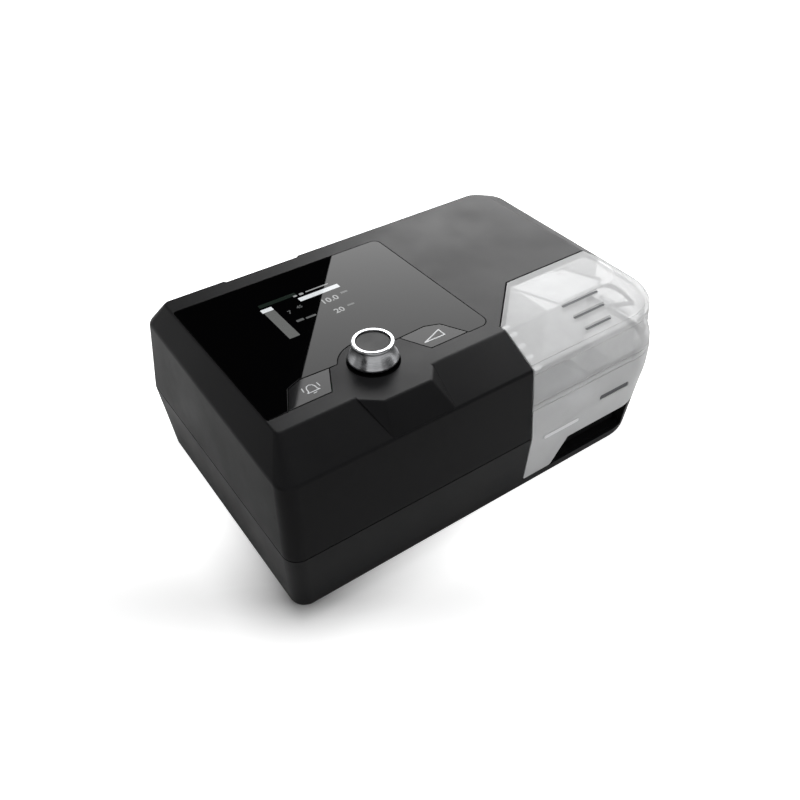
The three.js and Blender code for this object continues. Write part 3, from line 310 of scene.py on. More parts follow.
def lathed(name, profile, centre=(0, 0, 0), axis="Z", steps=96):
    """A turned piece: profile points are (radius, height); ends at radius 0 are closed with a point."""
    turn = np.linspace(0, 2 * math.pi, steps, endpoint=False)
    points, faces, rows = [], [], []
    for r, h in profile:
        if r < 1e-6:
            rows.append([len(points)])
            points.append((0, 0, h))
        else:
            rows.append(list(range(len(points), len(points) + steps)))
            points += [(r * math.cos(t), r * math.sin(t), h) for t in turn]
    for a, b in zip(rows, rows[1:]):
        for i in range(steps):
            j = (i + 1) % steps
            if len(a) == 1 and len(b) > 1:
                faces.append((a[0], b[j], b[i]))
            elif len(b) == 1 and len(a) > 1:
                faces.append((a[i], a[j], b[0]))
            elif len(a) > 1:
                faces.append((a[i], a[j], b[j], b[i]))
    made = mesh_object(name, points, faces)
    made.data.transform(Matrix.Translation(centre) @ TURNED[axis])
    return outwards(made)


def rod(name, radius, start, end, centre, axis, steps):
    return lathed(name, [(0, start), (radius, start), (radius, end), (0, end)], centre, axis, steps)


def rod_along(name, x, z, radius, y0, y1, steps=64):
    """A round bar along Y."""
    return rod(name, radius, y0, y1, (x, 0, z), "-Y", steps)


def edges_rounded(obj, width):
    change = obj.modifiers.new("round", "BEVEL")
    change.width = width
    change.segments = 3
    change.limit_method = "ANGLE"
    change.angle_limit = math.radians(8)
    change.use_clamp_overlap = True
    return evaluated(obj)


def outline_of(obj, z):
    """The longest closed outline of the faces that lie in the plane at height z."""
    tool = bmesh.new()
    tool.from_mesh(obj.data)
    flat = {f for f in tool.faces if abs(f.normal.z) > 0.9 and abs(f.calc_center_median().z - z) < 0.01}
    follow = {}
    for face in flat:
        for loop in face.loops:
            if not any(other in flat for other in loop.edge.link_faces if other is not face):
                follow[loop.vert.index] = loop.link_loop_next.vert.index
    spots = {v.index: (v.co.x, v.co.y) for v in tool.verts}
    tool.free()
    longest = []
    while follow:
        here = next(iter(follow))
        chain = []
        while here in follow:
            chain.append(spots[here])
            here = follow.pop(here)
        if len(chain) > len(longest):
            longest = chain
    p = np.array(longest)
    apart = np.linalg.norm(p - np.roll(p, 1, 0), axis=1) > 0.03
    return counterclockwise(p[apart])


def merged(tool, distance=2e-6):
    bmesh.ops.remove_doubles(tool, verts=tool.verts, dist=distance)


def cleaned(tool):
    merged(tool)
    bmesh.ops.dissolve_degenerate(tool, dist=1e-6, edges=tool.edges)


def smooth_faces(obj, angle):
    """Smooth faces, with edges sharper than an angle in degrees kept."""
    obj.data.polygons.foreach_set("use_smooth", [True] * len(obj.data.polygons))
    obj.data.set_sharp_from_angle(angle=math.radians(angle))


def dress(obj, material, body, slot_name, *replaced):
    obj.data.materials.clear()
    obj.data.materials.append(material)
    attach(obj, body)
    if replaced:
        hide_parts(*replaced)


def put(obj, material, body, slot_name, *replaced, angle=28):
    """Scales a piece to metres, smooths it and gives it its material and body; its slot name is not used."""
    obj.data.transform(Matrix.Scale(MM, 4))
    reworked(obj, cleaned)
    smooth_faces(obj, angle)
    shade = obj.modifiers.new("shade", "WEIGHTED_NORMAL")
    shade.mode = "FACE_AREA"
    shade.weight = 50
    shade.keep_sharp = True
    evaluated(obj)
    for layer in list(obj.data.uv_layers):
        obj.data.uv_layers.remove(layer)
    dress(obj, material, body, slot_name, *replaced)


# ---------------------------------------------------------------- the case's own form
def crease_height(x, y):
    across, along = (x - LEFT) / CASE_WIDTH, (y - FRONT) / CASE_DEPTH
    front_left, front_right, back_right, back_left = CREASE_DROPS
    front = front_left * (1 - across) + front_right * across
    back = back_left * (1 - across) + back_right * across
    return CASE_HEIGHT - front * (1 - along) - back * along


def outline(inset, margin, bulge):
    """Outline of one level, counterclockwise: an arc at each corner and even steps along each side."""
    radii = TOP_RADII if inset is TOP_IN else SEAM_RADII
    r, f = RIGHT - inset["right"] - margin, FRONT + inset["front"] + margin
    b = BACK - inset["back"] - margin
    arcs = []
    for corner, (towards_x, towards_y, start) in enumerate(
            ((1, 1, math.pi), (-1, 1, 1.5 * math.pi), (-1, -1, 0.0), (1, -1, 0.5 * math.pi))):
        l = LEFT + inset["left"] + margin + (inset.get("pinch", 0.0) if corner == 3 else 0.0)
        radius = max(radii[corner] - margin, SMALLEST_RADIUS)
        cx = (l if towards_x > 0 else r) + towards_x * radius
        cy = (f if towards_y > 0 else b) + towards_y * radius
        share = np.linspace(0, 1, ARC_STEPS[corner] + 1)
        reach = radius + (bulge * np.sin(math.pi * share) if corner == 1 else 0.0)
        turn = start + math.pi / 2 * share
        arcs.append(np.column_stack([cx + reach * np.cos(turn), cy + reach * np.sin(turn)]))
    made = []
    for corner, points in enumerate(arcs):
        share = np.linspace(0, 1, RUN_STEPS[corner] + 1)[1:-1, None]
        made += [points, points[-1] * (1 - share) + arcs[(corner + 1) % 4][0] * share]
    return np.concatenate(made)


def level(inset, height, margin=0.0, soft=0.0, bulge=0.0):
    """An outline at a height, which may depend on the place, and how softly the skin bends there."""
    points = outline(inset, margin, bulge)
    z = height(points[:, 0], points[:, 1]) if callable(height) else np.full(len(points), float(height))
    return np.column_stack([points, z]), soft


def softened(levels, steps=6):
    """Rounds the bends between levels: soft is how far from a bend its curve starts."""
    rings = [levels[0][0]]
    for (a, _), (b, soft), (c, _) in zip(levels, levels[1:], levels[2:]):
        if soft <= 0:
            rings.append(b)
            continue
        down, up = a - b, c - b
        ld = np.linalg.norm(down, axis=1, keepdims=True)
        lu = np.linalg.norm(up, axis=1, keepdims=True)
        reach = np.minimum(soft, 0.47 * np.minimum(ld, lu))
        p, q = b + down / ld * reach, b + up / lu * reach
        for t in (j / steps for j in range(steps + 1)):
            rings.append((1 - t) ** 2 * p + 2 * t * (1 - t) * b + t ** 2 * q)
    return rings + [levels[-1][0]]


CREASE_CORNER = float(crease_height(RIGHT, FRONT))
BULGES = [(bulge, SEAM + (TANK_SEAM - SEAM) * share) for bulge, share in BULGE_BELOW] + \
         [(bulge, TANK_SEAM + (CREASE_CORNER - TANK_SEAM) * share) for bulge, share in BULGE_ABOVE]


def wall_in(z):
    """How far each outer wall stands in from the seam's outline at a height."""
    if z > SEAM:
        lean = (z - SEAM) / (CREASE_CORNER - SEAM)
        return {side: distance * lean for side, distance in CREASE_IN.items()}
    share = (z - WALL_START) / (SEAM - WALL_START)
    return {side: distance * (1 - share) for side, distance in BOTTOM_IN.items()}


def ring(z, margin=0.0, soft=0.0):
    """The outer wall's outline at a height, moved in by a margin."""
    bulge = float(np.interp(z, [SEAM] + [height for _, height in BULGES], [0.0] + [b for b, _ in BULGES]))
    return level(wall_in(z), z, margin, soft, bulge)


def skin_above(name, z, lip=0.0, grooves=(), top_soft=1.1, crease_soft=1.5, lines=()):
    """The outer form from height z up, with a rounded lip at its lower rim.
    Grooves run round the wall: (height, depth, width). Lines run along the bevel: (share of it, depth, width)."""
    levels = [ring(z, lip)] + ([ring(z + 0.3 * lip, 0.3 * lip), ring(z + lip)] if lip else [])
    marks = [(z1, 0.0, 4.0) for _, z1 in BULGES if z1 > z + 1.5]
    for height, depth, width in grooves:
        marks += [(height - width / 2, 0.0, 0.0), (height - width / 2 + 0.12, depth, 0.0),
                  (height + width / 2 - 0.12, depth, 0.0), (height + width / 2, 0.0, 0.0)]
    levels += [ring(height, depth, soft) for height, depth, soft in sorted(marks)]
    low, high = level(CREASE_IN, crease_height, 0.0, crease_soft), level(TOP_IN, CASE_HEIGHT, 0.0, top_soft)
    levels.append(low)
    for share, depth, width in lines:
        for side, down in ((-0.5, 0.0), (-0.35, depth), (0.35, depth), (0.5, 0.0)):
            at = share + side * width
            points = low[0] * (1 - at) + high[0] * at
            points[:, 2] -= down
            levels.append((points, 0.0))
    return loft(name, softened(levels + [high, level(TOP_IN, CASE_HEIGHT, 2.2)]))


def skin_below(name, z, lip=0.0):
    """The outer form from the bottom up to height z, with a rounded lip at its upper rim."""
    spread = BOTTOM_ROUND * BOTTOM_SPREAD
    levels = [level(BOTTOM_IN, FOOT_HEIGHT, spread + 1.5), level(BOTTOM_IN, FOOT_HEIGHT, spread * 0.6, 1.0),
              level(BOTTOM_IN, WALL_START, 0.0, 1.6)]
    if z > SEAM:
        levels.append(level(NO_INSET, SEAM, 0.0, 3.0))
        levels += [ring(z1, 0.0, 4.0) for _, z1 in BULGES if z1 < z - 1.5]
    if lip:
        levels += [ring(z - lip), ring(z - 0.3 * lip, 0.3 * lip)]
    return loft(name, softened(levels + [ring(z, lip)]))


def inner_form(name, margin, roof, floor=FLOOR, smooth=False):
    """The inside follows the outside at a wall's distance."""
    soft = float(smooth)
    levels = [level(BOTTOM_IN, floor, margin), level(NO_INSET, SEAM, margin, 3.0 * soft)]
    levels += [ring(z, margin, 4.0 * soft) for _, z in BULGES]
    levels += [level(CREASE_IN, lambda x, y: crease_height(x, y) - margin * INNER_CREASE_DROP, margin, 1.4 * soft),
               level(TOP_IN, CASE_HEIGHT - roof, margin * INNER_TOP_MARGIN)]
    return loft(name, softened(levels))


def bay_plan(grow):
    slant = grow * (math.sqrt(2) - 1)
    return [(BAY_LEFT - grow, -FAR), (FAR, -FAR), (FAR, BAY_BACK + grow),
            (BAY_LEFT + BAY_CUT - slant, BAY_BACK + grow), (BAY_LEFT - grow, BAY_BACK - BAY_CUT + slant)]


# ---------------------------------------------------------------- rounded edges along the tank bay
MIDDLE_Z = 60.0  # a height well inside the case, which outlines are followed around


def section(obj, point, normal):
    """The points in which a plane cuts a mesh."""
    tool = bmesh.new()
    tool.from_mesh(obj.data)
    found = bmesh.ops.bisect_plane(tool, geom=tool.verts[:] + tool.edges[:] + tool.faces[:],
                                   plane_co=point, plane_no=normal)["geom_cut"]
    spots = np.array([v.co[:] for v in found if isinstance(v, bmesh.types.BMVert)])
    tool.free()
    return spots


def in_order(points, bearing, shortest=0.12):
    """Points sorted by their bearing, without those that lie closer together than the shortest."""
    points = points[np.argsort(bearing)]
    kept = [points[0]]
    for p in points[1:]:
        if np.linalg.norm(p - kept[-1]) > shortest:
            kept.append(p)
    return np.array(kept)


def mitred(a, b):
    both = a + b
    both = both / np.linalg.norm(both)
    return both / max(float(both @ a), 0.35)


def bay_edge(skin, grow, low):
    """Where the bay's walls cut the skin: up the front, round the bay's corners, and down the right side.
    Gives points, the skin's outward direction and the bay's own direction at each."""
    plan = bay_plan(grow)
    left_x, back_y = plan[0][0], plan[2][1]
    first, second = np.array([*plan[4], CASE_HEIGHT]), np.array([*plan[3], CASE_HEIGHT])
    rising = section(skin, (left_x, 0, MIDDLE_Z), (1, 0, 0))
    rising = rising[(rising[:, 1] < first[1] - 0.05) & (rising[:, 2] > low - 0.05)]
    rising = in_order(rising, -np.arctan2(rising[:, 2] - MIDDLE_Z, 60 + rising[:, 1]))
    falling = section(skin, (0, back_y, MIDDLE_Z), (0, 1, 0))
    falling = falling[(falling[:, 0] > second[0] + 0.05) & (falling[:, 2] > low - 0.05)]
    falling = in_order(falling, -np.arctan2(falling[:, 2] - MIDDLE_Z, falling[:, 0] - 80))
    points = np.concatenate([rising, [first], [second], falling])
    right, slanted, ahead = np.array([1.0, 0, 0]), np.array([1.0, -1.0, 0]) / math.sqrt(2), np.array([0, -1.0, 0])
    count = len(rising)
    bay_side = [right] * count + [mitred(right, slanted), mitred(slanted, ahead)] + [ahead] * len(falling)
    skin_side = []
    for i, point in enumerate(points):
        if i in (count, count + 1):
            skin_side.append(np.array([0, 0, 1.0]))
            continue
        plane, middle = (right, [point[0], -40, MIDDLE_Z]) if i < count else (ahead, [60, point[1], MIDDLE_Z])
        normals = []
        for j in (i - 1, i + 1):
            if 0 <= j < len(points) and not (i < count <= j - 1) and not (j < count + 1 < i):
                out = np.cross(plane, (points[j] - point) * (j - i))
                out /= np.linalg.norm(out)
                normals.append(out if out @ (point - middle) > 0 else -out)
        skin_side.append(normals[0] if len(normals) == 1 else mitred(*normals))
    return points, np.array(skin_side), np.array(bay_side)


def edge_tool(name, edge, radius, over=0.08, steps=4):
    """What has to come off a square edge to leave it rounded."""
    profile = [(-radius, over), (over, over), (over, -radius), (0.0, -radius)]
    for j in range(1, steps):
        turn = math.pi / 2 * j / steps
        profile.append((-radius + radius * math.cos(turn), -radius + radius * math.sin(turn)))
    profile.append((-radius, 0.0))
    return outwards(loft(name, [np.array([p + a * n1 + b * n2 for a, b in profile]) for p, n1, n2 in zip(*edge)]))


# ---------------------------------------------------------------- materials
class Graph:
    """Short ways to add and join nodes in one tree."""

    def __init__(self, tree):
        self.nodes, self.links = tree.nodes, tree.links

    def join(self, source, target):
        if isinstance(source, bpy.types.NodeSocket):
            self.links.new(source, target)
        else:
            target.default_value = source

    def add(self, kind, values=(), **settings):
        node = self.nodes.new("ShaderNode" + kind)
        for key, value in settings.items():
            setattr(node, key, value)
        for key, value in dict(values).items():
            self.join(value, node.inputs[key])
        return node

    def math(self, operation, a, b=0.0, clamp=False):
        return self.add("Math", {0: a, 1: b}, operation=operation, use_clamp=clamp).outputs[0]

    def ramp(self, value, low, high, out_low=0.0, out_high=1.0):
        values = (value, low, high, out_low, out_high)
        return self.add("MapRange", dict(enumerate(values)), clamp=True).outputs[0]

    def mix(self, share, a, b):
        return self.add("Mix", {"Factor": share, 6: a, 7: b}, data_type="RGBA").outputs[2]

    def scaled(self, color, by):
        return self.add("VectorMath", {0: color, "Scale": by}, operation="SCALE").outputs[0]

    def reach(self, x, y):
        return self.math("SQRT", self.math("ADD", self.math("POWER", x, 2.0), self.math("POWER", y, 2.0)))

    def split(self, vector):
        return self.add("SeparateXYZ", {0: vector}).outputs

    def spot(self):
        return self.add("TexCoord").outputs["Object"]

    def place(self, location=(0, 0, 0), turn=0.0):
        return self.add("Mapping", {"Vector": self.spot(), "Location": location, "Rotation": (0, 0, turn)}).outputs[0]

    def noise(self, vector, scale, detail=2.0, roughness=0.5):
        return self.add("TexNoise", {"Scale": scale, "Detail": detail, "Roughness": roughness,
                                     "Vector": vector}).outputs["Fac"]

    def cells(self, vector, scale, **settings):
        return self.add("TexVoronoi", {"Vector": vector, "Scale": scale}, **settings).outputs["Distance"]

    def bump(self, height, strength, distance, shader):
        relief = self.add("Bump", {"Strength": strength, "Distance": distance, "Height": height})
        self.join(relief.outputs[0], shader.inputs["Normal"])

    def use(self, group, **values):
        node = self.nodes.new("ShaderNodeGroup")
        node.node_tree = group
        for key, value in values.items():
            self.join(value, node.inputs[key.replace("_", " ")])
        return node.outputs


def group(name, inputs, outputs):
    """A shader group as its tree, its graph, what comes in and what goes out."""
    made = bpy.data.node_groups.new(name, "ShaderNodeTree")
    for label, kind, value in inputs:
        socket = made.interface.new_socket(label, in_out="INPUT", socket_type="NodeSocket" + kind)
        socket.default_value = value
    for label, kind in outputs:
        made.interface.new_socket(label, in_out="OUTPUT", socket_type="NodeSocket" + kind)
    g = Graph(made)
    return made, g, g.nodes.new("NodeGroupInput").outputs, g.nodes.new("NodeGroupOutput").inputs


def grain_group():
    """Fine spark texture of a moulded face, with slow changes in gloss over a larger area."""
    tree, g, given, out = group("moulded_grain", [("Size", "Float", 0.0007), ("Cloud size", "Float", 0.05)],
                                [("Height", "Float"), ("Cloud", "Float")])
    spot = g.spot()
    scale = g.math("DIVIDE", 1.0, given["Size"])
    pits = g.cells(spot, scale, feature="SMOOTH_F1")
    rough = g.noise(spot, g.math("MULTIPLY", scale, 0.6), 3.0, 0.6)
    g.join(g.math("ADD", g.math("MULTIPLY", pits, 0.6), g.math("MULTIPLY", rough, 0.7)), out["Height"])
    g.join(g.noise(spot, g.math("DIVIDE", 1.0, given["Cloud size"]), 3.0, 0.55), out["Cloud"])
    return tree


def marks_group():
    """Fine hairline scratches and faint finger smudges, as masks."""
    tree, g, given, out = group("handling_marks", [("Scratch scale", "Float", 60.0), ("Smudge scale", "Float", 18.0)],
                                [("Scratches", "Float"), ("Smudges", "Float")])
    spot = g.spot()
    lines = []
    for turn in (0.35, 1.9):
        stretch = g.add("Mapping", {"Vector": spot, "Rotation": (0.2, 0.1, turn), "Scale": (9.0, 0.22, 1.0)},
                        vector_type="TEXTURE")
        one = g.noise(stretch.outputs[0], g.math("MULTIPLY", given["Scratch scale"], 5.0))
        lines.append(g.ramp(one, 0.66, 0.72))
    g.join(g.math("MAXIMUM", *lines), out["Scratches"])
    g.join(g.ramp(g.noise(spot, given["Smudge scale"], 4.0, 0.6), 0.5, 0.72), out["Smudges"])
    return tree


def dust_group():
    """Specks of dust and faint mottling that breaks up an even colour."""
    tree, g, given, out = group("dust_and_mottle", [("Base", "Color", (0.1, 0.1, 0.1, 1)),
                                                    ("Variation", "Float", 0.12), ("Scale", "Float", 30.0)],
                                [("Color", "Color")])
    spot = g.spot()
    soft = g.noise(spot, given["Scale"], 4.0, 0.6)
    change = g.math("MULTIPLY", g.math("SUBTRACT", soft, 0.5), given["Variation"])
    fleck = g.math("MULTIPLY", g.ramp(g.cells(spot, 900.0), 0.12, 0.02), 0.05)
    g.join(g.scaled(given["Base"], g.math("ADD", g.math("ADD", 1.0, change), fleck)), out["Color"])
    return tree


GRAIN, MARKS, MOTTLE = grain_group(), marks_group(), dust_group()


def new_material(name, **sockets):
    """A material as itself, its graph and its shader; even values go on the shader's own sockets."""
    made = bpy.data.materials.new(name)
    made.use_nodes = True
    g = Graph(made.node_tree)
    shader = g.nodes["Principled BSDF"]
    for key, value in sockets.items():
        shader.inputs[key.replace("_", " ")].default_value = value
    return made, g, shader


def surface(name, color, roughness, grain=0.0007, bump=0.25, bump_distance=0.00004, rough_spread=0.1,
            variation=0.12, marks=0.0, extra=None, **sockets):
    """A moulded, sheet or rubber surface."""
    made, g, shader = new_material(name, **sockets)
    texture = g.use(GRAIN, Size=grain, Cloud_size=0.04)
    tone = g.use(MOTTLE, Base=(*color, 1), Variation=variation, Scale=25.0)["Color"]
    rough = g.ramp(texture["Cloud"], 0.3, 0.7, roughness - rough_spread / 2, roughness + rough_spread / 2)
    if marks:
        wear = g.use(MARKS)
        rough = g.math("ADD", rough, g.math("MULTIPLY", wear["Scratches"], marks * 0.5))
        rough = g.math("ADD", rough, g.math("MULTIPLY", wear["Smudges"], marks * 0.35), clamp=True)
    g.join(tone, shader.inputs["Base Color"])
    g.join(rough, shader.inputs["Roughness"])
    height = texture["Height"]
    if extra:
        height = extra(g, shader, tone, height) or height
    g.bump(height, bump, bump_distance, shader)
    return made


def turned_finish(name, color, roughness, bump=0.12, metal=1.0, gloss=0.5):
    """A face with fine lathe marks round the knob's axis."""
    made, g, shader = new_material(name, Metallic=metal, Specular_IOR_Level=gloss, Anisotropic=0.7,
                                   Anisotropic_Rotation=0.25)
    g.join(g.add("Tangent", direction_type="RADIAL", axis="Z").outputs[0], shader.inputs["Tangent"])
    spot = g.place((-KNOB[0] * MM, -KNOB[1] * MM, 0))
    parts = g.split(spot)
    rings = g.add("CombineXYZ", {0: g.reach(parts[0], parts[1]), 1: parts[2]})
    lines = g.noise(rings.outputs[0], 4200.0, 2.0, 0.6)
    cloud = g.noise(spot, 60.0, 3.0)
    g.join(g.use(MOTTLE, Base=(*color, 1), Variation=0.1, Scale=60.0)["Color"], shader.inputs["Base Color"])
    g.join(g.math("ADD", g.ramp(lines, 0.3, 0.7, roughness * 0.75, roughness * 1.25),
                  g.math("MULTIPLY", cloud, 0.04)), shader.inputs["Roughness"])
    g.bump(lines, bump, 0.00003, shader)
    return made


def board_tracks(g, shader, tone, height):
    """Copper tracks under the green lacquer of a circuit board."""
    bricks = g.add("TexBrick", {"Scale": 210.0, "Mortar Size": 0.06, "Brick Width": 0.9, "Row Height": 0.35,
                                "Vector": g.place()})
    track = g.math("SUBTRACT", 1.0, bricks.outputs["Fac"])
    g.join(g.mix(g.math("MULTIPLY", track, 0.6), (0.02, 0.16, 0.06, 1), tone), shader.inputs["Base Color"])
    return g.math("ADD", g.math("MULTIPLY", height, 0.2), track)


def open_cells(g, shader, tone, height):
    """Open foam cells, darker in their hollows as painted shade."""
    hole = g.ramp(g.cells(g.place(), 900.0), 0.1, 0.45)
    # Painted shade: the colour darkens in the cells' hollows
    g.join(g.mix(hole, (0.05, 0.055, 0.06, 1), tone), shader.inputs["Base Color"])
    return hole


def glowing(name, color, strength):
    """A lit patch of the screen with its fine picture grid."""
    made, g, shader = new_material(name, Emission_Strength=strength, Base_Color=(0.01, 0.01, 0.01, 1),
                                   Specular_IOR_Level=0.05)
    spot = g.place()
    tones = {label: (*(c * share for c in color), 1)
             for label, share in (("Color1", 1.0), ("Color2", 0.93), ("Mortar", 0.6))}
    grid = g.add("TexBrick", {"Scale": 2600.0, "Mortar Size": 0.05, "Brick Width": 1.0, "Row Height": 1.0,
                              "Vector": spot, **tones}, offset=0.0)
    g.join(grid.outputs["Color"], shader.inputs["Emission Color"])
    g.join(g.ramp(g.noise(spot, 40.0), 0.3, 0.7, 0.05, 0.1), shader.inputs["Roughness"])
    return made


def clear_plastic(name, color, roughness, faced, edged, turn=0.0, rim=1.0):
    """Frosted clear plastic. It covers what is behind it by the share faced where the eye meets it squarely, and
    from the share turn on by more and more, up to edged where the eye grazes it. There its colour darkens to the
    share rim, a painted shade along the edges that the eye grazes."""
    def cover(g, shader, tone, height):
        facing = g.add("LayerWeight", {"Blend": 0.45}).outputs["Facing"]
        cloud = g.noise(g.place(), 45.0, 3.0)
        g.join(g.math("ADD", g.ramp(facing, turn, 1.0, faced, edged),
                      g.math("MULTIPLY", g.math("SUBTRACT", cloud, 0.5), 0.12), clamp=True), shader.inputs["Alpha"])
        # Painted shade: the colour darkens where the eye grazes the plastic
        if rim < 1.0:
            g.join(g.scaled(tone, g.ramp(facing, 0.55, 0.95, 1.0, rim)), shader.inputs["Base Color"])
        return height
    return surface(name, color, roughness, grain=0.0012, bump=0.1, rough_spread=0.08, variation=0.03, extra=cover,
                   Specular_IOR_Level=0.07)


LOW_GLOSS = 0.06
case_black = surface("moulded_black", (0.0085, 0.0085, 0.009), 0.4, grain=0.0006, bump=0.3, marks=0.05,
                     Specular_IOR_Level=LOW_GLOSS)
pane_black = surface("black_pane", (0.001, 0.001, 0.0011), 0.015, grain=0.02, bump=0.005, rough_spread=0.01,
                     variation=0.05, marks=0.02, Specular_IOR_Level=0.042)
key_black = surface("satin_key", (0.012, 0.012, 0.0125), 0.045, grain=0.001, bump=0.03, rough_spread=0.02,
                    marks=0.04, Specular_IOR_Level=LOW_GLOSS)
inner_grey = surface("inner_grey_plastic", (0.075, 0.078, 0.085), 0.5, marks=0.05)
inner_white = surface("inner_white_plastic", (0.62, 0.63, 0.64), 0.45, marks=0.04)
silver = turned_finish("satin_silver", (0.37, 0.375, 0.385), 0.27)
cap_black = turned_finish("spun_black_cap", (0.012, 0.012, 0.0125), 0.22, bump=0.2, metal=0.0, gloss=0.045)
steel = surface("bare_steel_sheet", (0.5, 0.51, 0.53), 0.3, grain=0.0012, bump=0.1, marks=0.12, Metallic=1.0)
rubber = surface("soft_black_rubber", (0.016, 0.016, 0.017), 0.75, grain=0.0009, bump=0.5,
                 Specular_IOR_Level=0.2)
board = surface("green_board", (0.015, 0.09, 0.04), 0.35, extra=board_tracks, bump=0.6)
foam = surface("open_grey_foam", (0.22, 0.23, 0.245), 0.95, extra=open_cells, bump=1.0, bump_distance=0.0004)
# The lid's plastic, whose colour darkens where the eye grazes it: painted shade
frosted = clear_plastic("frosted_clear_plastic", (0.92, 0.925, 0.93), 0.3, 0.38, 0.92, turn=0.4, rim=0.35)
# The tub's copy of the frosted plastic: more opaque than the lid's, and darker as painted shade of the tank's lower
# walls
frosted_tub_shaded = clear_plastic("frosted_tub_plastic", (0.74, 0.745, 0.75), 0.3, 0.55, 0.9)
milky = clear_plastic("milky_plastic", (0.94, 0.945, 0.95), 0.35, 0.85, 1.0)
# Dark clear plastic for the lid's ribs: painted shade of walls seen through the lid
clear_edge_shade = clear_plastic("clear_plastic_edge", (0.12, 0.122, 0.125), 0.3, 0.85, 0.95)
# Dark clear plastic for slabs of painted shade in the grips and in the tub's slot
grip_shade_grey = clear_plastic("shaded_grip", (0.13, 0.133, 0.137), 0.4, 0.9, 1.0)
screen_white = glowing("screen_white", (0.85, 0.88, 0.9), 0.95)
screen_grey = glowing("screen_grey", (0.16, 0.165, 0.16), 0.9)
screen_bright = glowing("screen_bright", (0.4, 0.41, 0.41), 0.9)
screen_dim = glowing("screen_dim", (0.13, 0.135, 0.135), 0.9)
screen_green = glowing("screen_green", (0.002, 0.01, 0.005), 0.9)
# Matt black for the disc under the knob: painted shade below the knob's skirt
knob_shade_black = surface("matt_black_felt", (0.002, 0.002, 0.002), 0.9, grain=0.0004, bump=0.4,
                    Specular_IOR_Level=0.0)
print_pale = surface("pale_print", (0.55, 0.56, 0.57), 0.4, bump=0.05, Specular_IOR_Level=0.1)


# ---------------------------------------------------------------- case
def hulled(tool):
    """Closes loose points into a block round them."""
    made = bmesh.ops.convex_hull(tool, input=tool.verts)
    bmesh.ops.delete(tool, geom=[v for v in set(made["geom_interior"]) if isinstance(v, bmesh.types.BMVert)],
                     context="VERTS")
    bmesh.ops.dissolve_limit(tool, angle_limit=math.radians(1), verts=tool.verts, edges=tool.edges)
    bmesh.ops.recalc_face_normals(tool, faces=tool.faces)


def knob_platform():
    """The wedge that carries the flat top forward over the front bevel: points of its top, then of its foot."""
    foot_y, back_y, bevel_y = FRONT + CREASE_IN["front"], FRONT + 33.0, FRONT + 27.5
    top = ((-24, back_y), (22.5, back_y), (-24, bevel_y), (22.5, bevel_y), (-13.8, FRONT + 19), (15, FRONT + 18.5))
    foot = ((-18, foot_y), (15.5, foot_y), (20.5, foot_y), (-18, back_y), (20.5, back_y))
    points = [(KNOB[0] + x, y, CASE_HEIGHT) for x, y in top]
    points += [(KNOB[0] + x, y, float(crease_height(KNOB[0] + x, foot_y))) for x, y in foot]
    return edges_rounded(reworked(mesh_object("platform", points, []), hulled), 0.9)


KEY_INNER, KEY_FRONT = 21.5, 30.5
KEY_BACK = [(KEY_TIP - 8, KNOB[1] + 6), (KEY_TIP - 16.5, KNOB[1] + 9.3), (KEY_INNER, KNOB[1] + 8.5)]


def key_shape(side, front, radii):
    return rounded([(KNOB[0] + side * x, y) for x, y in front + KEY_BACK], radii, 5)


def key_plan(side, grow=0.0, radius=0.8):
    p = key_shape(side, [(KEY_FRONT, GLASS["front"]), (KEY_TIP, GLASS["front"])], radius)
    return grown(p, grow) if grow else p


def key_room(side):
    """The glass stops square at a key: this runs on past the glass's front edge."""
    front, run_out = GLASS["front"] - 1, 8 / (KNOB[1] + 6 - GLASS["front"])
    radii = [0, 0, 0.8, 0.8, 0.8]
    return key_shape(side, [(KEY_FRONT, front), (KEY_TIP + run_out, front)], radii if side > 0 else radii[::-1])


def pane_plan():
    """The glass outline: a rounded pane less the keys and the knob's bay."""
    pane = slab("pane", soft_box(*GLASS.values(), [1.5, 6, 4.5, 1.5]), 0, 10)
    x, y = KNOB
    cutters = [slab("key_room", key_room(side), -1, 11) for side in (-1, 1)]
    cutters.append(slab("knob_room", circle(x, y, 19, 96), -1, 11))
    cutters.append(slab("apron", [(x - KEY_FRONT - 1, GLASS["front"] - 1), (x + KEY_FRONT + 1, GLASS["front"] - 1),
                                  (x + KEY_INNER + 1, y + 8.5), (x - KEY_INNER - 1, y + 8.5)], -1, 11))
    cut(pane, *cutters)
    plan = outline_of(pane, 10)
    drop(pane)
    return plan


PANE = pane_plan()


def upper_case():
    rim = SEAM + SEAM_GAP / 2
    body = skin_above("upper_shell", rim, CASE_LIP)
    edge = bay_edge(body, 0, rim)
    join(body, knob_platform())
    cut(body, inner_form("inside", WALL, TOP_WALL), slab("bay_cut", bay_plan(0), 0, FAR))
    cut(body, edge_tool("bay_edge", edge, 0.45))
    top, below = CASE_HEIGHT, 98
    cutters = [pocket("pane_bed", grown(PANE, GLASS_GAP), top - 1.6, top, GLASS_ROUND)]
    cutters += [pocket("key_hole", key_plan(side), below, top, GLASS_ROUND) for side in (-1, 1)]
    cutters += [block("screen_hole", -80.05, -25.05, -18.0, 35.0, below, 103),
                pocket("shaft_hole", circle(*KNOB, 5, 48), below, top, 0.4),
                block("filter_window", FILTER["left"], FILTER["right"], 65.5, FAR, FILTER["low"], FILTER["high"])]
    middle, edge_y = (FILTER["left"] + FILTER["right"]) / 2, BACK - TOP_IN["back"]
    notch = ((-25.5, FAR), (-25.5, edge_y + 0.01), (-21, edge_y - 4.5), (21, edge_y - 4.5), (25.5, edge_y + 0.01),
             (25.5, FAR))
    cutters += [pocket("finger_notch", [(middle + x, y) for x, y in notch], top - 2.2, top, 0.3),
                rod_along("outlet_hole", PORT_X, PORT_Z, PORT_HOLE, BACK - 30, FAR)]
    return cut(body, *cutters)


put(upper_case(), case_black, "case", "case_black", "upper_case")


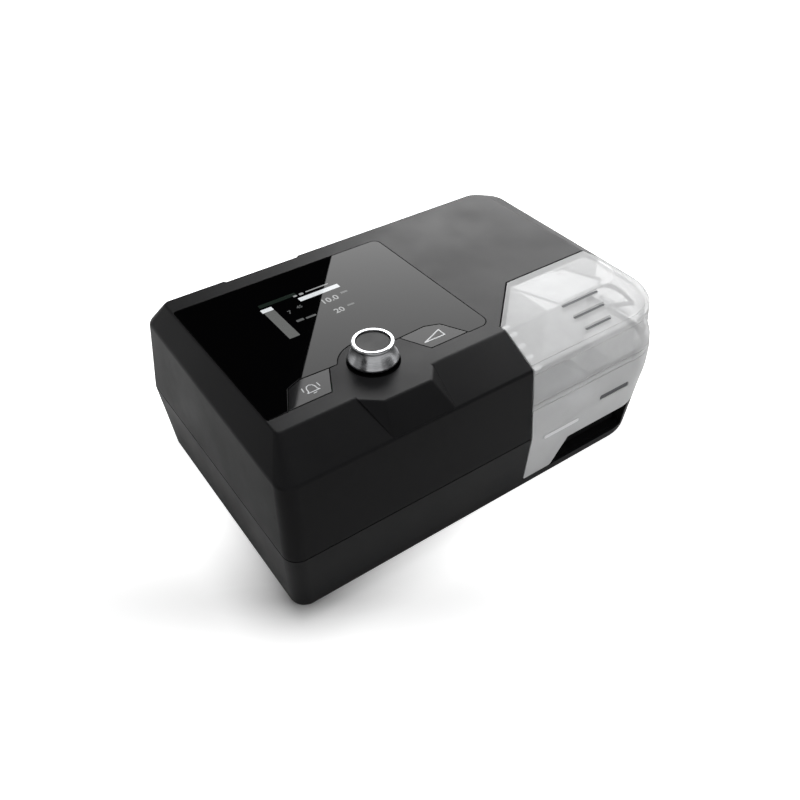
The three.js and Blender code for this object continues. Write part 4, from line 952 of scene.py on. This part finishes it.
def lower_case():
    rim = SEAM - SEAM_GAP / 2
    body = skin_below("lower_shell", rim, CASE_LIP)
    cut(body, inner_form("inside", WALL, TOP_WALL), slab("bay_low", bay_plan(0), DECK, FAR),
        block("finger_bay", BAY_LEFT, BAY_LEFT + 84, -FAR, FRONT + 12, 8.2, DECK + 1))
    cut(body, *(slab("foot_seat", circle(x, y, 7.3, 48), -1, 2.7) for x, y in FEET))
    for x, y in SCREWS:
        boss = slab("boss", circle(x, y, 4.5, 32), 2.0, rim)
        join(body, common(boss, skin_below("skin_low", rim, CASE_LIP)))
        cut(body, slab("screw_seat", circle(x, y, 3.2, 32), -1, 6.0),
            slab("screw_hole", circle(x, y, 1.8, 24), -1, FAR))
    return cut(body, block("inlet_hole", -114.85, -98.25, 0, FAR, 10.6, 23.2),
               block("door_hole", -97.55, -65.55, 66.86, FAR, 9.9, 22.9),
               rod_along("outlet_hole", PORT_X, PORT_Z, PORT_HOLE, BACK - 30, FAR))


put(lower_case(), case_black, "case", "case_black", "lower_case")


# ---------------------------------------------------------------- glass, keys and what they show
def box_mm(node):
    return [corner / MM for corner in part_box(node)]


pane = slab("glass_pane", PANE, CASE_HEIGHT - GLASS_THICK, CASE_HEIGHT, edge=GLASS_ROUND)
put(pane, pane_black, "case", "display_black", "display_glass")
for side, node in ((-1, "alarm_key"), (1, "ramp_key")):
    cap = slab(node + "_cap", key_plan(side, -KEY_GAP, 0.9), CASE_HEIGHT - 3, CASE_HEIGHT, edge=0.35)
    stem = slab("stem", circle(KNOB[0] + side * KEY_STEM, KNOB[1] - 1, 2, 24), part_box(node)[0].z / MM, CASE_HEIGHT - 2)
    put(join(cap, stem), key_black, node, "case_black", node)


def print_slab(name, plan):
    """A thin printed or lit patch on the top."""
    return slab(name, plan, CASE_HEIGHT - 0.02, CASE_HEIGHT + 0.03)


def patches(*rows):
    """Lit patches of the screen: name, material, left, right, front, back and corner radius."""
    for name, material, *sides, radius in rows:
        put(print_slab("screen_" + name, soft_box(*sides, radius, 3)), material, "case", "display_black")


def pen_plan(a, b, half):
    """The outline that a round pen leaves between two points."""
    run = math.atan2(b[1] - a[1], b[0] - a[0])
    return [(p[0] + half * math.cos(run + start + t), p[1] + half * math.sin(run + start + t))
            for p, start in ((a, math.pi / 2), (b, -math.pi / 2)) for t in np.linspace(0, math.pi, 7)]


def pen_lines(lines, half, make):
    """Lines drawn with a round pen: each line is a list of points."""
    bars = [make(pen_plan(a, b, half)) for line in lines for a, b in zip(line, line[1:])]
    return join(*bars)


def sign(name, lines, width, key):
    put(pen_lines(lines, width / 2, lambda plan: print_slab(name, plan)), print_pale, key, "case_black")


def numerals(name, text, x, y, size, material):
    curve = bpy.data.curves.new(name, "FONT")
    curve.body, curve.size, curve.extrude, curve.offset, curve.resolution_u = text, size, 0.025, 0.02 * size, 3
    holder = linked(name, curve)
    mesh = made_mesh(holder)
    bpy.data.objects.remove(holder)
    bpy.data.curves.remove(curve)
    mesh.transform(Matrix.Translation((x, y, CASE_HEIGHT + 0.005)))
    put(linked(name, mesh), material, "case", "display_black")


patches(("level_top", screen_white, -78.6, -71.6, 24.4, 28.0, 0.2),
        ("level_bar", screen_grey, -78.0, -71.6, -5.6, 24.0, 0.2),
        ("title_bar", screen_white, -55.2, -28.8, 22.6, 26.4, 0.2),
        ("status_line", screen_green, -77.6, -53.8, 29.8, 33.0, 0.5),
        ("mark_1", screen_bright, -56.4, -54.0, 28.6, 30.4, 0.7),
        ("mark_2", screen_bright, -52.6, -49.8, 28.4, 30.4, 0.8),
        ("mark_3", screen_bright, -48.2, -33.0, 29.2, 30.2, 0.4))
numerals("screen_value_1", "10.0", -46.6, 12.4, 6.6, screen_bright)
numerals("screen_value_2", "20", -45.0, 0.2, 6.2, screen_bright)
numerals("screen_count_1", "7", -66.8, 15.4, 4.4, screen_dim)
numerals("screen_count_2", "45", -60.4, 17.2, 3.6, screen_dim)
patches(("label_1", screen_dim, -67.0, -62.4, 5.6, 7.6, 0.5),
        ("label_2", screen_dim, -61.2, -54.8, 5.4, 7.0, 0.4),
        ("unit_1", screen_dim, -32.4, -27.8, 15.6, 17.4, 0.4),
        ("unit_2", screen_dim, -36.0, -31.4, 2.4, 4.0, 0.4))

BELL = (-89.6, -48.6)
bell_lines = (
    ((-3.4, -2.6), (-2.5, -1.6), (-2.4, 0.8), (-1.6, 2.4), (0.0, 3.0), (1.6, 2.4), (2.4, 0.8), (2.5, -1.6), (3.4, -2.6),
     (-3.4, -2.6)),
    ((-0.8, -4.0), (0.8, -4.0)),
    ((-4.6, -0.4), (-4.3, 2.4)),
    ((4.6, -0.4), (4.3, 2.4)))
sign("alarm_key_sign", [[(BELL[0] + x, BELL[1] + y) for x, y in line] for line in bell_lines], 0.55, "alarm_key")
sign("ramp_key_sign", [[(-21.3, -51.2), (-8.6, -45.9), (-8.5, -51.5), (-21.3, -51.2)]], 0.75, "ramp_key")

# ---------------------------------------------------------------- knob
TOP = CASE_HEIGHT + 13
BASE = CASE_HEIGHT + 1.4
RING_LOW = TOP - 2.2


def knob_part(name, profile, material, body, slot_name, *replaced):
    put(lathed(name, profile, (*KNOB, 0)), material, body, slot_name, *replaced, angle=40)


skirt = [(3.4, BASE), (11.9, BASE)] + arc(12.0, BASE + 1.5, 1.5, -90, 30)
skirt += [(radius, BASE + height) for radius, height in
          ((12.75, 3.2), (12.15, 4.2), (11.6, 5.2), (11.15, 6.2), (10.8, 7.2), (10.55, 8.2))]
skirt += [(10.4, RING_LOW - 0.3), (3.4, RING_LOW - 0.3), (3.4, BASE)]
knob_part("knob_skirt_turned", skirt, silver, "knob", "satin_silver", "knob_skirt")
bright_ring = [(3.4, RING_LOW), (10.5, RING_LOW)] + arc(10.75, RING_LOW + 0.55, 0.55, -90, 0, 4)
bright_ring += arc(10.45, TOP - 0.85, 0.85, 0, 90, 6) + [(9.6, TOP), (9.25, TOP - 0.15), (9.1, TOP - 0.5)]
bright_ring += [(9.1, TOP - 2.1), (3.4, TOP - 2.1), (3.4, RING_LOW)]
knob_part("knob_ring_turned", bright_ring, silver, "knob", "satin_silver", "knob_ring")
cap = [(0, TOP - 1.8), (8.95, TOP - 1.8)] + arc(8.7, TOP - 1.2, 0.25, 0, 90, 4)
cap += [(8.4, TOP - 0.98), (6.0, TOP - 1.05), (3.0, TOP - 1.1), (0, TOP - 1.12)]
knob_part("knob_cap_turned", cap, cap_black, "knob", "case_black", "knob_cap")
# A black disc round the shaft under the knob's skirt: painted shade below the knob
shade_disc = [(radius, CASE_HEIGHT + height) for radius, height in
          ((5.6, -0.02), (14.3, -0.02), (14.3, 0.15), (14.2, 0.25), (5.6, 0.25), (5.6, -0.02))]
knob_part("knob_washer", shade_disc, knob_shade_black, "case", "soft_rubber")


# ---------------------------------------------------------------- tank
def tank_form(obj, grow=-TANK_GAP):
    return common(obj, slab("tank_plan", bay_plan(grow), 0, FAR))


def between(obj, z0, z1):
    return common(obj, block("room", -FAR, FAR, -FAR, FAR, z0, z1))


def tank_inside(name, z0, z1):
    """The room inside the tank's walls between two heights."""
    return between(tank_form(inner_form(name, TANK_WALL, TANK_ROOF, smooth=True), -TANK_GAP - TANK_WALL), z0, z1)


def knuckle(i, z0, z1):
    """The hinge's knuckle number i, and the web that joins it to the wall."""
    y0, y1 = HINGE_BACK - (i + 1) * KNUCKLE + 0.3, HINGE_BACK - i * KNUCKLE
    profile = [(0, y0), (2.1, y0), (2.4, y0 + 0.3), (2.4, y1 - 0.3), (2.1, y1), (0, y1)]
    return (lathed("knuckle", profile, (HINGE_X, 0, TANK_SEAM), "-Y", 32),
            block("web", RIGHT - 1.2, HINGE_X, y0, y1, z0, z1))


def pin_hole():
    return rod_along("pin_hole", HINGE_X, TANK_SEAM, 1.1, -120, 20, 24)


def front_pocket(name, x0, x1, z0, z1, h0, h1, radius):
    return standing(name, soft_box(x0, x1, z0, z1, radius, 6), h0, h1)


def lid_ribs():
    """Low ribs that hang under the lid's roof: the edge of its air box, a frame and a line along the bay. Their dark
    colour is painted shade.
    """
    lines = [[(51.15, -30.0), (64.05, -63.8), (96.25, -63.3), (102.25, -58.2), (93.0, -30.0)],
             [(96.25, -63.3), (104.0, -66.5), (107.6, -71.5), (108.65, -80.4), (91.25, -77.0)],
             [(29.6, -59.0), (29.6, -94.5)]]
    made = pen_lines(lines, 0.75, lambda plan: slab("rib", plan, 84, FAR))
    outer = inner_form("rib_outer", TANK_WALL + 0.05, TANK_ROOF + 0.05, 80, smooth=True)
    common(made, tank_form(outer, -TANK_GAP - TANK_WALL - 0.05))
    return cut(made, inner_form("rib_inner", TANK_WALL + 1.5, TANK_ROOF + 2.0, 80, smooth=True))


def tank_lid():
    """The lid, and dark slabs of painted shade on the floors of its three grips."""
    rim = TANK_SEAM + 0.15
    body = skin_above("lid_shell", rim, TANK_LIP, grooves=((66.9, 0.4, 0.8), (87.2, 0.3, 0.7)), top_soft=1.6,
                      crease_soft=1.2, lines=((0.1, 0.35, 0.03),))
    points, skin_side, bay_side = bay_edge(body, -TANK_GAP, rim)
    tank_form(body)
    cut(body, tank_inside("lid_inside", rim - 1, FAR))
    cut(body, edge_tool("lid_edge", (points, skin_side, -bay_side), 0.5))
    cut(body, *(rod_along("port_hole", x, SEAL_Z, 7, BAY_BACK - 3.9, BAY_BACK + 1, 48) for x in SEAL_X))
    slope = float(CASE_HEIGHT - crease_height(GRIP_X, FRONT)) / (TOP_IN["front"] - CREASE_IN["front"])
    shades = []
    for i in range(3):
        x0 = GRIP_X + 2 * i
        x1, y = x0 + GRIP_LENGTH - 4 * i, BEVEL_TOP - GRIP_HALF - GRIP_STEP * i
        z, sides = CASE_HEIGHT - slope * max(BEVEL_TOP - y, 0), (y - GRIP_HALF, y + GRIP_HALF)
        cut(body, pocket("grip", soft_box(x0, x1, *sides, 0.85, 6), z - GRIP_DEEP, z, 0.3, 5))
        # A dark slab of painted shade on the grip's floor
        shades.append(slab("grip_shade", soft_box(x0 + 0.25, x1 - 0.25, *sides, 0.8, 6), z - GRIP_DEEP, z - 0.5))
    for i in (0, 2):
        join(body, *knuckle(i, TANK_SEAM + 0.8, TANK_SEAM + 2.4))
    return cut(body, pin_hole()), join(*shades)


def tank_tub():
    rim, bottom = TANK_SEAM - 0.15, DECK + 0.5
    body = skin_below("tub_shell", rim, TANK_LIP)
    leg_left = BAY_LEFT + TANK_GAP
    leg_plan = (leg_left, 8.5), (leg_left + 21, 8.5), (leg_left + 32, bottom + 1), (leg_left, bottom + 1)
    leg = mesh_object("leg", [(x, y, z) for y in (-FAR, FRONT + 7.2) for x, z in leg_plan],
                      [(0, 1, 2, 3), (7, 6, 5, 4), (4, 5, 1, 0), (5, 6, 2, 1), (6, 7, 3, 2), (7, 4, 0, 3)])
    edges_rounded(outwards(leg), 1.2)
    leg_part = common(tank_form(linked("leg_part", body.data.copy())), leg)
    join(between(tank_form(body), bottom, FAR), leg_part)
    cut(body, tank_inside("tub_inside", bottom + TANK_WALL, rim + 1))
    for name, halves, top in (("plate_seat", PLATE_SEAT, bottom + 1.3),
                              ("plate_window", PLATE_WINDOW, bottom + TANK_WALL + 1)):
        cut(body, slab(name, soft_bar(*halves, 3, 8, *PLATE_AT), bottom - 1, top))
    join(body, front_pocket("tub_rib", 29.5, 58.0, 37.6, 41.2, 94.6, 96.98, 1.6))
    cut(body, front_pocket("tub_slot", 73.5, 97.5, 45.4, 48.8, 95.4, 98.5, 1.3))
    join(body, *knuckle(1, TANK_SEAM - 2.4, TANK_SEAM - 0.8))
    return cut(body, pin_hole())


lid, grip_shade_slabs = tank_lid()
put(lid, frosted, "lid", "frosted_clear", "tank_lid")
put(grip_shade_slabs, grip_shade_grey, "lid", "frosted_clear")
put(lid_ribs(), clear_edge_shade, "lid", "frosted_clear")
put(tank_tub(), frosted_tub_shaded, "tank", "frosted_clear", "tank_tub")
# A dark slab of painted shade in the tub's slot
put(front_pocket("tub_slot_shade", 73.6, 97.4, 45.5, 48.7, 95.35, 96.2, 1.2), grip_shade_grey, "tank", "frosted_clear")
# A milky patch on the rib's front: a painted highlight along the rib
put(front_pocket("tub_rib_face", 30.2, 57.3, 38.1, 40.7, 96.4, 96.99, 1.2), milky, "tank", "frosted_clear")


# ---------------------------------------------------------------- repeats
def copies_tree():
    """Puts a piece at each point of a mesh, turned by the point's own angles."""
    tree = bpy.data.node_groups.new("copies_at_points", "GeometryNodeTree")
    ends = {label: tree.interface.new_socket(label, in_out="INPUT", socket_type="NodeSocket" + label).identifier
            for label in ("Geometry", "Object", "Material")}
    tree.interface.new_socket("Geometry", in_out="OUTPUT", socket_type="NodeSocketGeometry")
    add, link = tree.nodes.new, tree.links.new
    start, end = add("NodeGroupInput"), add("NodeGroupOutput")
    piece, spread = add("GeometryNodeObjectInfo"), add("GeometryNodeInstanceOnPoints")
    turn, euler = add("GeometryNodeInputNamedAttribute"), add("FunctionNodeEulerToRotation")
    turn.data_type = "FLOAT_VECTOR"
    turn.inputs["Name"].default_value = "turn"
    real, paint = add("GeometryNodeRealizeInstances"), add("GeometryNodeSetMaterial")
    link(start.outputs["Object"], piece.inputs["Object"])
    link(start.outputs["Geometry"], spread.inputs["Points"])
    link(piece.outputs["Geometry"], spread.inputs["Instance"])
    link(turn.outputs["Attribute"], euler.inputs["Euler"])
    link(euler.outputs[0], spread.inputs["Rotation"])
    link(spread.outputs[0], real.inputs[0])
    link(real.outputs[0], paint.inputs["Geometry"])
    link(start.outputs["Material"], paint.inputs["Material"])
    link(paint.outputs[0], end.inputs["Geometry"])
    return tree, ends


COPIES, COPIES_ENDS = copies_tree()


def copies(name, piece, places, material):
    """places: (x, y, z) or (x, y, z, turn about x, about y, about z) of each copy."""
    made = mesh_object(name, [place[:3] for place in places], [])
    turns = made.data.attributes.new("turn", "FLOAT_VECTOR", "POINT")
    turns.data.foreach_set("vector", [v for place in places for v in (*place[3:], 0, 0, 0)[:3]])
    change = made.modifiers.new("copies", "NODES")
    change.node_group = COPIES
    change[COPIES_ENDS["Object"]] = piece
    change[COPIES_ENDS["Material"]] = material
    evaluated(made)
    drop(piece)
    return made


# ---------------------------------------------------------------- back of the case
def wall_back(z, margin=0.0):
    """Where the outer back wall stands at a height."""
    return BACK - wall_in(z)["back"] - margin


def finger_groove(name, middle, half, z0, z1):
    return standing(name, soft_box(middle - half, middle + half, z0, z1, 0.65, 5), -FAR,
                    -(wall_back((z0 + z1) / 2) - 0.9))


def back_door(body, outer, inner, x0, x1, pivot, *cutters):
    """A block cut to a thin door that follows the back wall, with its pivot rod."""
    common(body, outer)
    inner.data.transform(Matrix.Translation((0, -DOOR_THICK, 0)))
    cut(body, inner, *cutters)
    return join(body, rod("pivot", PIVOT_RADIUS, x0, x1, (0, *pivot), "X", 24))


def filter_cover():
    left, right, low, high = FILTER["left"] + 0.3, FILTER["right"] - 0.3, FILTER["low"] + 1.4, FILTER["high"] - 0.3
    window = standing("cover_window", soft_box(left + 5.7, right - 5.7, low + 4.4, high - 4.6, 1.6, 5), -FAR, -60)
    body = back_door(standing("cover", soft_box(left, right, low, high, (0.3, 0.3, 2.2, 2.2), 6), -FAR, -60),
                     skin_above("cover_skin", SEAM + 1), skin_above("cover_back", SEAM), left, right, COVER_PIVOT,
                     window, finger_groove("cover_grip", (left + right) / 2, 9, high - 3.0, high - 1.6))
    slat = slab("slat", soft_bar(1.9, 0.45, 0.4, 4), left + 5.4, right - 5.4)
    slat.data.transform(Matrix(((0, 0, 1), (1, 0, 0), (0, 1, 0))).to_4x4())
    rows = [low + 5.9 + (high - low - 12.0) * i / 8 for i in range(9)]
    places = [(0, wall_back(z, 1.35), z, math.radians(-32)) for z in rows]
    slats = common(copies("cover_slats", slat, places, case_black), skin_above("slat_trim", SEAM + 1))
    put(slats, case_black, "filter_cover", "case_black")
    put(body, case_black, "filter_cover", "case_black", "filter_cover")


filter_cover()

PORT_START = BACK - 14.5 + 2
port = [(8.5, PORT_START), (13.5, PORT_START), (13.5, PORT_START + 3.5), (11.0, PORT_START + 3.5), (11.0, BACK + 0.6),
        (10.75, BACK + 0.9), (10.75, BACK + 1.7), (11.0, BACK + 2.0), (11.0, PORT_END - 3.2), (10.8, PORT_END - 2.9),
        (10.8, PORT_END - 2.4), (11.0, PORT_END - 2.1), (11.0, PORT_END - 0.9)]
port += arc(10.1, PORT_END - 0.9, 0.9, 0, 90, 5) + [(9.4, PORT_END), (8.5, PORT_END - 0.9), (8.5, PORT_START)]
put(lathed("outlet_port_turned", port, (PORT_X, 0, PORT_Z), "-Y"), inner_grey, "case", "inner_grey", "outlet_port",
    angle=40)


def mains_inlet():
    low, high = box_mm("power_inlet")
    inlet = standing("inlet_shell", soft_box(low.x, high.x, low.z, high.z, (0.6, 0.6, 2.2, 2.2), 6), -high.y, -low.y,
                     lower_edge=0.5)
    well = soft_box(low.x + 2, high.x - 2, low.z + 2, high.z - 2, (0.4, 0.4, 1.4, 1.4), 6)
    cut(inlet, standing("inlet_well", well, -FAR, -(high.y - 10)))
    put(inlet, inner_grey, "case", "inner_grey", "power_inlet")
    blade = slab("blade", soft_bar(0.6, 0.9, 0.3, 4), 0, 6, edge=0.3)
    middle_x, middle_z = (low.x + high.x) / 2, (low.z + high.z) / 2
    places = [(middle_x + x, high.y - 10.6, middle_z + z) for x, z in ((-3.4, -0.3), (0, 0.7), (3.4, -0.3))]
    put(copies("inlet_pins", turned(blade, -math.pi / 2, "X"), places, steel), steel, "case", "bare_steel")


mains_inlet()


def card_door():
    low, high = box_mm("card_door")
    plan = soft_box(low.x, high.x, low.z, high.z - 1.4, (1.4, 1.4, 0.3, 0.3), 6)
    return back_door(standing("door", plan, -FAR, -60), skin_below("door_skin", SEAM - 1),
                     skin_below("door_back", SEAM - 1), low.x, high.x, DOOR_PIVOT,
                     finger_groove("door_nail", (low.x + high.x) / 2, 5, low.z + 0.9, low.z + 2.3))


put(card_door(), rubber, "card_door", "soft_rubber", "card_door")

# ---------------------------------------------------------------- below the case
pad = [(0, 0.35), (1.6, 0.35), (1.9, 0), (3.6, 0), (3.9, 0.35), (4.6, 0.35), (4.9, 0), (6.3, 0)]
pad += arc(6.3, 0.7, 0.7, -90, 0, 5)[1:] + [(7.0, 2.4), (0, 2.4)]
feet = copies("rubber_feet", lathed("pad", pad), [(x, y, 0) for x, y in FEET], rubber)
put(feet, rubber, "case", "soft_rubber", *(f"foot_{i}" for i in range(1, 5)), angle=40)
low, high = box_mm("case_screw_1")
head = low.z + 1.9
screw = [(0, low.z), (2.2, low.z)] + arc(2.2, low.z + 0.65, 0.65, -90, 0, 4)[1:]
screw += [(2.85, head), (1.45, head), (1.45, high.z - 1.2), (0.5, high.z), (0, high.z)]
driven = lathed("screw", screw, steps=48)
for turn in (0, math.pi / 2):
    cut(driven, turned(slab("arm", soft_bar(1.7, 0.4, 0.2, 3), low.z - 1, low.z + 1.2), turn, "Z"))
screws = copies("case_screws", driven, [(x, y, 0, 0, 0, 0.5 + i) for i, (x, y) in enumerate(SCREWS)], steel)
put(screws, steel, "case", "bare_steel", *(f"case_screw_{i}" for i in range(1, 5)), angle=40)

# ---------------------------------------------------------------- what shows through the tank
plate = slab("air_box_roof", [(51.6, -36.5), (64.6, -63.2), (96.0, -62.7), (101.6, -58.0), (92.6, -36.5)],
             97.6, 98.8, edge=0.3)
put(plate, milky, "lid", "frosted_clear")
tab = slab("tab", soft_bar(2.6, 1.2, 0.8, 4), -3.4, 0.0, edge=0.3)
slope = math.atan2(12.0, 24.5)
tabs = copies("lid_clip_tabs", tab, [(25.4, y, CASE_HEIGHT - max(0.0, BEVEL_TOP - y) * math.tan(slope) - 3.3,
                                      slope if y < BEVEL_TOP else 0.0)
                                     for y in (-62.5, -69.5, -76.5, -83.5, -90.0)], milky)
put(tabs, milky, "lid", "frosted_clear")

# ---------------------------------------------------------------- heater springs
for name in ("heater_spring_1", "heater_spring_2"):
    low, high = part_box(name)
    coil = reworked(linked(name + "_coil", nodes[name].data.copy()), lambda tool: merged(tool, 1e-6))
    smooth_faces(coil, 50)
    dress(coil, steel, "case", "bare_steel", name)
    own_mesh(coil)

# ---------------------------------------------------------------- CAD nodes that stay, with their finishes
FINISH = {
    "case_black": case_black, "display_black": pane_black, "inner_grey": inner_grey, "satin_silver": silver,
    "frosted_clear": milky, "bare_steel": steel, "soft_rubber": rubber, "board_green": board,
    "inner_white": inner_white, "foam_grey": foam,
}
for entry in frame["record"]["subparts"]:
    obj, material = nodes[entry["node"]], FINISH[entry["material_slot"]]
    if not obj.data.materials:
        obj.data.materials.append(material)
    for socket in obj.material_slots:
        socket.material = material

# ---------------------------------------------------------------- camera, floor and light
CAMERA_AT = Vector((-0.22685, -0.3306, 0.3585))
CAMERA_RIGHT = Vector((0.820002, -0.572072, -0.018187))
CAMERA_UP = Vector((0.382852, 0.524601, 0.760407))
CAMERA_BACK = Vector((-0.425466, -0.630498, 0.649192))
NEAR_SIDE, RIGHT_SIDE = (-0.56, -0.83), (0.82, -0.572)  # the picture's, on the floor

lens = bpy.data.cameras.new("photo_camera")
lens.sensor_width = 36.0
lens.lens = 36.36
lens.clip_start = 0.01
lens.clip_end = 50.0
camera = linked("photo_camera", lens)
facing = Matrix((CAMERA_RIGHT, CAMERA_UP, CAMERA_BACK)).transposed().to_4x4()
camera.matrix_world = Matrix.Translation(CAMERA_AT) @ facing
bpy.context.scene.camera = camera
bpy.context.scene.view_settings.view_transform = "Standard"


def white_glow(g, strength):
    return g.add("Emission", {"Color": (1, 1, 1, 1), "Strength": strength}).outputs[0]


# Where the floor's painted shadow lies, and how it is turned
SHADE_AT = (-0.127, -0.087)
SHADE_TURN = math.atan2(-CAMERA_RIGHT.y, CAMERA_RIGHT.x)


def floor_material():
    """A painted shadow: the floor's white glow is weaker round a point under the front left corner. The eye sees a flat
    painted shadow there, and reflections see a wider and darker one.
    """
    made, g, shader = new_material("pale_floor", Base_Color=(0.8, 0.8, 0.8, 1), Roughness=0.9,
                                   Specular_IOR_Level=0.0)
    path = g.add("LightPath").outputs
    mirrored = g.math("MAXIMUM", path["Is Glossy Ray"], path["Is Transmission Ray"])
    (x, y), cos, sin = SHADE_AT, math.cos(SHADE_TURN), math.sin(SHADE_TURN)
    place = g.split(g.place((-x * cos + y * sin, -x * sin - y * cos, 0), SHADE_TURN))
    parts = []
    for ray, flat, start, end, dark, pale in ((path["Is Camera Ray"], 5.0, 0.0, 0.36, 0.04, 1.0),
                                              (mirrored, 1.0, 0.1, 0.6, 0.1, 0.9)):
        reach = g.reach(place[0], g.math("MULTIPLY", place[1], flat))
        parts.append(g.math("MULTIPLY", ray, g.ramp(reach, start, end, dark, pale)))
    both = g.add("AddShader", {0: shader.outputs[0], 1: white_glow(g, g.math("ADD", *parts))})
    g.join(both.outputs[0], g.nodes["Material Output"].inputs["Surface"])
    return made


floor = mesh_object("floor", [(-9, -9, 0), (9, -9, 0), (9, 9, 0), (-9, 9, 0)], [(0, 1, 2, 3)])
floor.location.z = -0.0002
floor.data.materials.append(floor_material())

world = bpy.data.worlds.new("studio")
bpy.context.scene.world = world
world.use_nodes = True
w = Graph(world.node_tree)
rays = w.add("LightPath").outputs
seen = w.math("MAXIMUM", w.math("MAXIMUM", rays["Is Camera Ray"], rays["Is Glossy Ray"]), rays["Is Transmission Ray"])
w.join(w.ramp(seen, 0, 1, 0.2, 1.0), w.nodes["Background"].inputs["Strength"])
w.nodes["Background"].inputs["Color"].default_value = (1, 1, 1, 1)


def card(name, corners, strength):
    """A studio card that only reflections see."""
    made = mesh_object(name, corners, [tuple(range(len(corners)))])
    material, g, _ = new_material(name)
    g.join(white_glow(g, strength), g.nodes["Material Output"].inputs["Surface"])
    made.data.materials.append(material)
    for ray in ("camera", "diffuse", "transmission", "volume_scatter", "shadow"):
        setattr(made, "visible_" + ray, False)


# The bright card's left edge is what splits the reflection in the pane; its near edge ends before the front bevel.
# Right of LID_X and nearer than LID_Y a less bright card stands over the lid.
CARD_Z, DARK_Z, CARD_NEAR, CARD_FAR, CARD_RIGHT = 0.666, 0.675, 0.34, 1.4, 2.2
LID_X, LID_Y = 0.56, 0.63
EDGE_A, EDGE_B = Vector((0.2137, 0.6053)), Vector((0.4631, 0.9189))


def hung_card(name, corners, strength, z=CARD_Z):
    card(name, [(x, y, z) for x, y in corners], strength)


def on_edge(y):
    share = (y - EDGE_A.y) / (EDGE_B.y - EDGE_A.y)
    return EDGE_A.x + share * (EDGE_B.x - EDGE_A.x), y


near = [on_edge(CARD_NEAR), (0.36, 0.22), (0.44, -0.3), (LID_X, -0.3), (LID_X, LID_Y)]
hung_card("bright_card", near + [(CARD_RIGHT, LID_Y), (CARD_RIGHT, CARD_FAR), on_edge(CARD_FAR)], 12.5)
hung_card("lid_card", box_plan(LID_X, 1.2, -0.2, LID_Y), 3.5)
hung_card("dark_card", box_plan(-0.45, 2.4, -0.9, 1.8), 0.0, DARK_Z)

# Cards that stand a metre from the knob, each between two bearings in degrees from the picture's near side
for i, (start, end, glow) in enumerate(((-56, -28, 0.0), (-90, -56, 0.4), (38, 60, 0.4), (60, 95, 0.12)), 1):
    a, b = ([centre * MM + (ahead * math.cos(turn) + aside * math.sin(turn))
             for centre, ahead, aside in zip(KNOB, NEAR_SIDE, RIGHT_SIDE)]
            for turn in map(math.radians, (start, end)))
    card(f"side_card_{i}", [(*a, 0.0), (*b, 0.0), (*b, 0.7), (*a, 0.7)], glow)


def soft_light(name, at, aim, size, power):
    lamp = bpy.data.lights.new(name, "AREA")
    lamp.shape = "DISK"
    lamp.size = size
    lamp.energy = power
    made = linked(name, lamp)
    made.location = at
    made.rotation_euler = (Vector(aim) - Vector(at)).to_track_quat("-Z", "Y").to_euler()
    made.visible_glossy = False


soft_light("key_light", (0.06, 0.02, 1.4), (0, 0, 0.05), 0.65, 13.5)
soft_light("fill_light", (0.5, -1.1, 0.7), (0.05, 0, 0.05), 0.9, 2.6)
